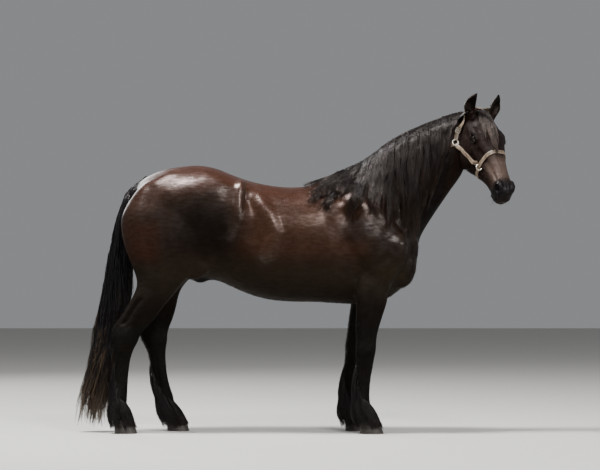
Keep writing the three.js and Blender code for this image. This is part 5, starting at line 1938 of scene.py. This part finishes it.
@dataclass
class Hoof:
    """One hoof: a wall that flares to the ground, its top cut by the sloping coronet."""

    leg: Leg
    rows: Rows = ((118, -14, 104, 100, 2.1), (86, -3, 117, 114, 2.15), (45, 6, 132, 128, 2.2), (0, 14, 146, 142, 2.25))
    coronet: float = 84
    slope: float = 0.34

    def build(self) -> bpy.types.Object:
        """Models the hoof."""
        rows = np.array(self.rows, float)
        (foot_x, foot_y), size = self.leg.foot, self.leg.size

        def section(u: Array) -> Section:
            """Returns the hoof's level sections, rippled by its growth rings."""
            z, ahead, depth, width, square = between(rows, u).T
            across, along = tiled(SIDEWAYS, len(u)), tiled(FORWARDS, len(u))
            ripple = 0.5 * np.sin(z / 1.9) + 0.3 * np.sin(z / 0.8)
            centre = np.stack([foot_x + ahead * size, np.full(len(u), foot_y), z], 1)
            deep, half = size * depth / 2 + ripple - 0.6, size * width / 2 + ripple - 0.6
            return Section(centre, across, along, half, deep, deep, square, square)

        piece = loft(len(rows), 20, 72, section, HORSE)
        normal = unit(np.array((-self.slope, 0, 1)))
        spot = to_scene((foot_x, foot_y, self.coronet))
        with editing(piece):
            bpy.ops.mesh.bisect(plane_co=spot, plane_no=normal, clear_outer=True, use_fill=True)
        apply_modifier(piece, "BEVEL", width=2 * MM, segments=2, limit_method="ANGLE", angle_limit=math.radians(50))
        bpy.ops.object.shade_smooth_by_angle(angle=math.radians(40))
        piece.name = piece.data.name = f"horn_{self.leg.name}"
        piece.data.materials.append(HoofHorn().material())
        return piece


@dataclass
class Halter:
    """The leather halter: noseband, cheek straps, crown and throat straps, with rings and buckles."""

    skin: bpy.types.Object
    leather: bpy.types.Material
    metal: bpy.types.Material
    thread: bpy.types.Material
    width: float = 24
    thick: float = 4
    crown: tuple[float, float] = (-20, -20)
    throat: tuple[float, float] = (112, -182)
    nose: tuple[float, float] = (356, -148)
    under: tuple[float, float] = (82, -285)
    parts: list[bpy.types.Object] = field(default_factory=list)

    def __post_init__(self) -> None:
        """Gets ready to find places on the skin."""
        at = points_of(self.skin)
        faces = [tuple(face.vertices) for face in self.skin.data.polygons]
        local = HEAD.inside(at)
        ears = (local[:, 2] > 4) & (np.abs(local[:, 1]) > 34) & (local[:, 0] < 90) & (local[:, 0] > -160)
        keep = [face for face in faces if not ears[face[0]] and local[face[0], 0] > -200]
        self.tree = BVHTree.FromPolygons(at.tolist(), keep)

    def on_skin(self, spots: Array, lift: float) -> tuple[Array, Array]:
        """Finds the places on the skin nearest to points of the head, and the skin's normals there."""
        places, normals = [], []
        for spot in HEAD.outside(spots):
            at, normal, _, _ = self.tree.find_nearest(Vector(spot))
            places.append(np.array(at))
            normals.append(np.array(normal))
        places, normals = np.array(places), np.array(normals)
        for _ in range(6):
            normals[1:-1] = unit(normals[:-2] + 2 * normals[1:-1] + normals[2:])
        return places + normals * lift * MM, normals

    def band(self, name: str, spots: Array, closed: bool) -> tuple[Array, Array]:
        """Models a strap along a line on the skin.

        Args:
            name: The piece's name.
            spots: Points of the line in the head's frame.
            closed: Whether its ends meet.

        Returns:
            The strap's middle line and the way it faces along it.
        """
        line, normals = self.on_skin(spots, 1.5 + self.thick / 2)
        line = smooth_line(line, closed, 6 if closed else 16)
        ahead = np.roll(line, -1, 0) - np.roll(line, 1, 0) if closed else np.gradient(line, axis=0)
        across = unit(np.cross(normals, unit(ahead)))
        normals = unit(np.cross(unit(ahead), across))
        ring = [(-0.5, -0.3), (-0.42, -0.5), (0.42, -0.5), (0.5, -0.3)]
        ring += [(-a, -b) for a, b in ring]
        rows = [line + across * (a * self.width * MM) + normals * (b * self.thick * MM) for a, b in ring]
        at = np.stack(rows, 1).reshape(-1, 3)
        count, sides = len(line), len(ring)
        faces = []
        for i in range(count if closed else count - 1):
            for k in range(sides):
                a, b = i * sides + k, i * sides + (k + 1) % sides
                step = ((i + 1) % count - i) * sides
                faces.append((a, a + step, b + step, b))
        if not closed:
            faces += [tuple(range(sides)), tuple((count - 1) * sides + k for k in reversed(range(sides)))]
        mesh = bpy.data.meshes.new(name)
        mesh.from_pydata(at.tolist(), [], faces)
        piece = bpy.data.objects.new(name, mesh)
        bpy.context.scene.collection.objects.link(piece)
        face_out(piece)
        bpy.ops.object.shade_smooth_by_angle(angle=math.radians(35))
        piece.data.materials.append(self.leather)
        self.stitches(name + "_stitching", line, across, normals)
        self.parts.append(piece)
        return line, normals

    def stitches(self, name: str, line: Array, across: Array, normals: Array) -> None:
        """Sews both edges of a strap with short stitches."""
        pitch, length, gauge = 8.0, 5.0, 0.8
        steps = np.linalg.norm(np.diff(line, axis=0), axis=1) / MM
        run = np.concatenate([[0], np.cumsum(steps)])
        marks = np.arange(pitch, run[-1] - pitch, pitch)

        def pick(table: Array) -> Array:
            """Reads a table of the line at the stitches."""
            return np.stack([np.interp(marks, run, table[:, k]) for k in range(3)], 1)

        at, side, up = pick(line), unit(pick(across)), unit(pick(normals))
        lead = unit(np.cross(side, up))
        slivers = []
        for edge in (-1, 1):
            middle = at + side * (edge * (self.width / 2 - 3) * MM) + up * (self.thick / 2 - 0.1) * MM
            steps_out = ((-1, -0.3), (0, 0.35), (1, -0.3))
            ends = [middle + lead * (k * length / 2 * MM) + up * (h * MM) for k, h in steps_out]
            slivers.append(np.stack(ends, 1))
        paths = np.concatenate(slivers)
        count = len(paths)
        outward = np.repeat(np.concatenate([up, up])[:, None], 3, axis=1)
        width = np.tile(np.array([0.8, 1.2, 0.8]) * gauge * MM, (count, 1))
        roots = np.c_[np.linspace(0, 1, count), np.full(count, 0.5)]
        white = np.ones((count, 3, 3))
        self.parts.append(Strands(paths, outward, width, width * 0.6, white, roots).build(name, self.thread))

    def around(self, start: tuple[float, float], end: tuple[float, float], y: float, count: int) -> Array:
        """Returns points beside the head, from one place seen from the side to another."""
        part = np.linspace(0, 1, count)[:, None]
        flat = np.array(start) * (1 - part) + np.array(end) * part
        return np.c_[flat[:, 0], np.full(count, y), flat[:, 1]]

    def loop(self, x: float, lean: float, count: int = 72) -> Array:
        """Returns points round the nose, in the plane that crosses it at x and leans by lean."""
        turn = np.linspace(0, 2 * np.pi, count, endpoint=False)
        z = -105 + 150 * np.sin(turn)
        return np.c_[x - lean * (z + 105), 110 * np.cos(turn), z]

    def ring(self, name: str, at: Point, radius: float, wire: float, turn: Point) -> bpy.types.Object:
        """Models a metal ring."""
        bpy.ops.mesh.primitive_torus_add(major_radius=radius, minor_radius=wire, major_segments=48, minor_segments=14)
        piece = bpy.context.object
        piece.matrix_world = HEAD.frame() @ Matrix.Translation(at) @ turn_of(turn)
        bpy.ops.object.transform_apply(location=True, rotation=True, scale=True)
        bpy.ops.object.shade_smooth()
        piece.name = piece.data.name = name
        piece.data.materials.append(self.metal)
        return piece

    def buckle(self, name: str, at: Point, run: Point, normal: Array) -> bpy.types.Object:
        """Models a buckle: a rounded frame with its bar and tongue, flat on the strap."""
        bpy.ops.mesh.primitive_plane_add(size=1)
        piece = bpy.context.object
        piece.scale = (30, 34, 1)
        bpy.ops.object.transform_apply(location=False, rotation=False, scale=True)
        with editing(piece):
            bpy.ops.mesh.inset(thickness=4.5)
            bpy.ops.mesh.delete(type="FACE")
        apply_modifier(piece, "SOLIDIFY", thickness=3.4, offset=0)
        apply_modifier(piece, "BEVEL", width=1.4, segments=3)
        bpy.ops.mesh.primitive_cylinder_add(vertices=16, radius=1.7, depth=32, rotation=(math.pi / 2, 0, 0))
        bar = bpy.context.object
        bpy.ops.mesh.primitive_cylinder_add(vertices=16, radius=1.6, depth=19, location=(8, 0, 1.6),
                                            rotation=(0, math.pi / 2 + 0.12, 0))  # fmt: skip
        tongue = bpy.context.object
        piece = joined([piece, bar, tongue], name)
        bpy.ops.object.transform_apply(location=True, rotation=True, scale=True)
        up = unit(np.asarray(normal))
        ahead = unit(np.array(run) - (np.array(run) @ up) * up)
        side = np.cross(up, ahead)
        spots = points_of(piece)
        spots = np.array(at) + (spots[:, :1] * ahead + spots[:, 1:2] * side + spots[:, 2:] * up) * MM
        move_points(piece, spots)
        choose(piece)
        bpy.ops.object.shade_smooth_by_angle(angle=math.radians(40))
        piece.data.materials.clear()
        piece.data.materials.append(self.metal)
        return piece

    def build(self) -> tuple[list[bpy.types.Object], list[bpy.types.Object]]:
        """Makes the leather with its thread, and the metal.

        Returns:
            The pieces of leather and thread, and those of metal.
        """
        metal = []
        self.band("halter_noseband", self.loop(self.nose[0], 0.02), True)
        tops, bottoms = {}, {}
        for side in Side:
            s, word = side.value, side.name.lower()
            start, end = (self.throat[0] + 16, self.throat[1] + 3), (self.nose[0] - 17, self.nose[1])
            cheek = self.around(start, end, s * 130, 30)
            self.band(f"halter_cheek_{word}", cheek, False)
            tops[side] = self.around(self.crown, (self.throat[0] - 6, self.throat[1] + 15), s * 125, 26)
            bottoms[side] = self.around((self.throat[0] - 3, self.throat[1] - 17), self.under, s * 120, 16)
            nx, nz = self.nose
            tx, tz = self.throat
            for word_at, spot, radius in (("nose", (nx, nz), 18), ("throat", (tx, tz), 17)):
                places, normals = self.on_skin(np.array([(spot[0], s * 120.0, spot[1])] * 3), 5.0)
                local = HEAD.inside(places[1:2])[0]
                facing = HEAD.turned(normals[1:2])[0]
                pitch = math.degrees(math.asin(np.clip(facing[1] * s, -1, 1)))
                yaw = math.degrees(math.atan2(facing[0], abs(facing[1])))
                turn = (-s * pitch, 0, -s * yaw)
                metal.append(self.ring(f"halter_{word_at}_ring_{word}_wire", tuple(local), radius, 3.2, turn))
        poll = np.array([(self.crown[0], y, 30.0) for y in np.linspace(-60, 60, 9)])
        crown = np.concatenate([tops[Side.RIGHT][::-1], poll, tops[Side.LEFT]])
        line, normals = self.band("halter_crown", crown, False)
        for side, i in ((Side.RIGHT, 8), (Side.LEFT, len(line) - 9)):
            spot = line[i] + normals[i] * (self.thick / 2 + 1) * MM
            metal.append(self.buckle(f"halter_buckle_{side.name.lower()}", spot, line[i + 1] - line[i - 1], normals[i]))
        jaw = np.array([(self.under[0], y, -330.0) for y in np.linspace(-70, 70, 9)])
        self.band("halter_throat", np.concatenate([bottoms[Side.RIGHT], jaw, bottoms[Side.LEFT][::-1]]), False)
        return self.parts, metal


def smooth_line(line: Array, closed: bool, passes: int) -> Array:
    """Evens a line of points out."""
    for _ in range(passes):
        if closed:
            line = 0.25 * np.roll(line, 1, 0) + 0.5 * line + 0.25 * np.roll(line, -1, 0)
        else:
            line = np.concatenate([line[:1], 0.25 * line[:-2] + 0.5 * line[1:-1] + 0.25 * line[2:], line[-1:]])
    return line


# ---------------------------------------------------------------- studio


@dataclass(frozen=True)
class Softbox:
    """A soft light: its name, place, target, size in metres and power in watts."""

    name: str
    at: Point
    target: Point
    size: float
    power: float

    def build(self) -> bpy.types.Object:
        """Adds the light."""
        data = bpy.data.lights.new(self.name, "AREA")
        data.size, data.energy = self.size, self.power
        light = bpy.data.objects.new(self.name, data)
        light.location = self.at
        light.rotation_euler = (Vector(self.target) - Vector(self.at)).to_track_quat("-Z", "Y").to_euler()
        bpy.context.scene.collection.objects.link(light)
        return light


# The photograph's view: its frame in pixels, and where the camera stands in metres
PHOTO_WIDTH = 600
FOCAL_PIXELS = 2459
HORIZON_ROW, MIDDLE_ROW = 276.26, 235
SENSOR = 36
CAMERA_X, CAMERA_AWAY, CAMERA_HEIGHT = 0.035, 15.0, 0.950


class Studio:
    """A pale floor, soft light and the camera of the photograph's view."""

    lights = (
        Softbox("high softbox", (-2.2, -0.9, 7.2), (-0.1, 0, 1.2), 1.5, 1250),
        Softbox("side softbox", (2.4, -6.0, 7.0), (0.1, 0, 1.1), 1.6, 520),
        Softbox("front softbox", (6.5, -4.5, 3.4), (0.8, 0, 1.5), 2.5, 240),
        Softbox("back softbox", (-4.0, 6.5, 4.5), (0, 0, 1.2), 3.5, 300),
    )

    def build(self) -> None:
        """Sets the stage."""
        bpy.ops.mesh.primitive_plane_add(size=60)
        floor = bpy.context.object
        floor.name = "floor"
        floor.data.materials.append(PlainFinish("pale matt floor", "#bbb9b4", 0.85).material())
        floor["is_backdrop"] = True
        for softbox in self.lights:
            softbox.build()
        world = bpy.data.worlds.new("studio")
        world.use_nodes = True
        sky = world.node_tree.nodes["Background"]
        sky.inputs["Color"].default_value = linear("#eceef2")
        sky.inputs["Strength"].default_value = 0.3
        bpy.context.scene.world = world
        camera = bpy.data.cameras.new("camera")
        camera.sensor_width, camera.lens = SENSOR, SENSOR * FOCAL_PIXELS / PHOTO_WIDTH
        camera.shift_y = (HORIZON_ROW - MIDDLE_ROW) / PHOTO_WIDTH
        camera.clip_end = 200
        seat = bpy.data.objects.new("camera", camera)
        seat.location = (CAMERA_X, MEDIAN_Y * MM - CAMERA_AWAY, CAMERA_HEIGHT)
        seat.rotation_euler = (math.pi / 2, 0, 0)
        bpy.context.scene.collection.objects.link(seat)
        bpy.context.scene.camera = seat


def settle(pieces: Sequence[bpy.types.Object], slot: str, *nodes: str) -> None:
    """Makes pieces ride on the root, hides the solids that they stand for and reports them."""
    for piece in pieces:
        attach(piece, "root")
        if nodes:
            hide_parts(*nodes)
        LOG.info("%s: %d faces", piece.name, len(piece.data.polygons))


def main() -> None:
    """Builds the horse, piece by piece."""
    logging.basicConfig(level=logging.INFO, format="%(name)s %(message)s", stream=sys.stdout, force=True)
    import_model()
    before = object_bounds()
    finishes = [finish.material() for finish in (HalterLeather(), NICKEL, THREAD)]
    skin = Skin().build()
    settle([skin], "coat", *Skin.replaced)
    for side in Side:
        settle([Eye(side).build()], "eye", f"eye_{side.name.lower()}")
    for leg in LEGS:
        settle([Hoof(leg).build()], "horn", f"hoof_{leg.name}")
        settle([Feather(leg, seed=41 + LEGS.index(leg)).build()], "hair", f"pastern_{leg.name}")
    settle(Mane(RightFlank(skin)).build(), "hair", "neck")
    settle([Forelock(skin).build()], "hair", "head")
    settle([Tufts(skin).build(), FaceHair(skin).build()], "hair")
    settle(Tail().build(), "hair", "tail")
    leather, metal = Halter(skin, *finishes).build()
    settle(leather, "halter_leather", "halter_straps")
    for piece in metal:
        ring = piece.name.endswith("_wire")
        settle([piece], "halter_metal", piece.name.removesuffix("_wire") if ring else "halter_straps")
    Studio().build()
    corners = [[list(corner) for corner in box] for box in (before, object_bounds())]


if __name__ == "__main__":
    main()
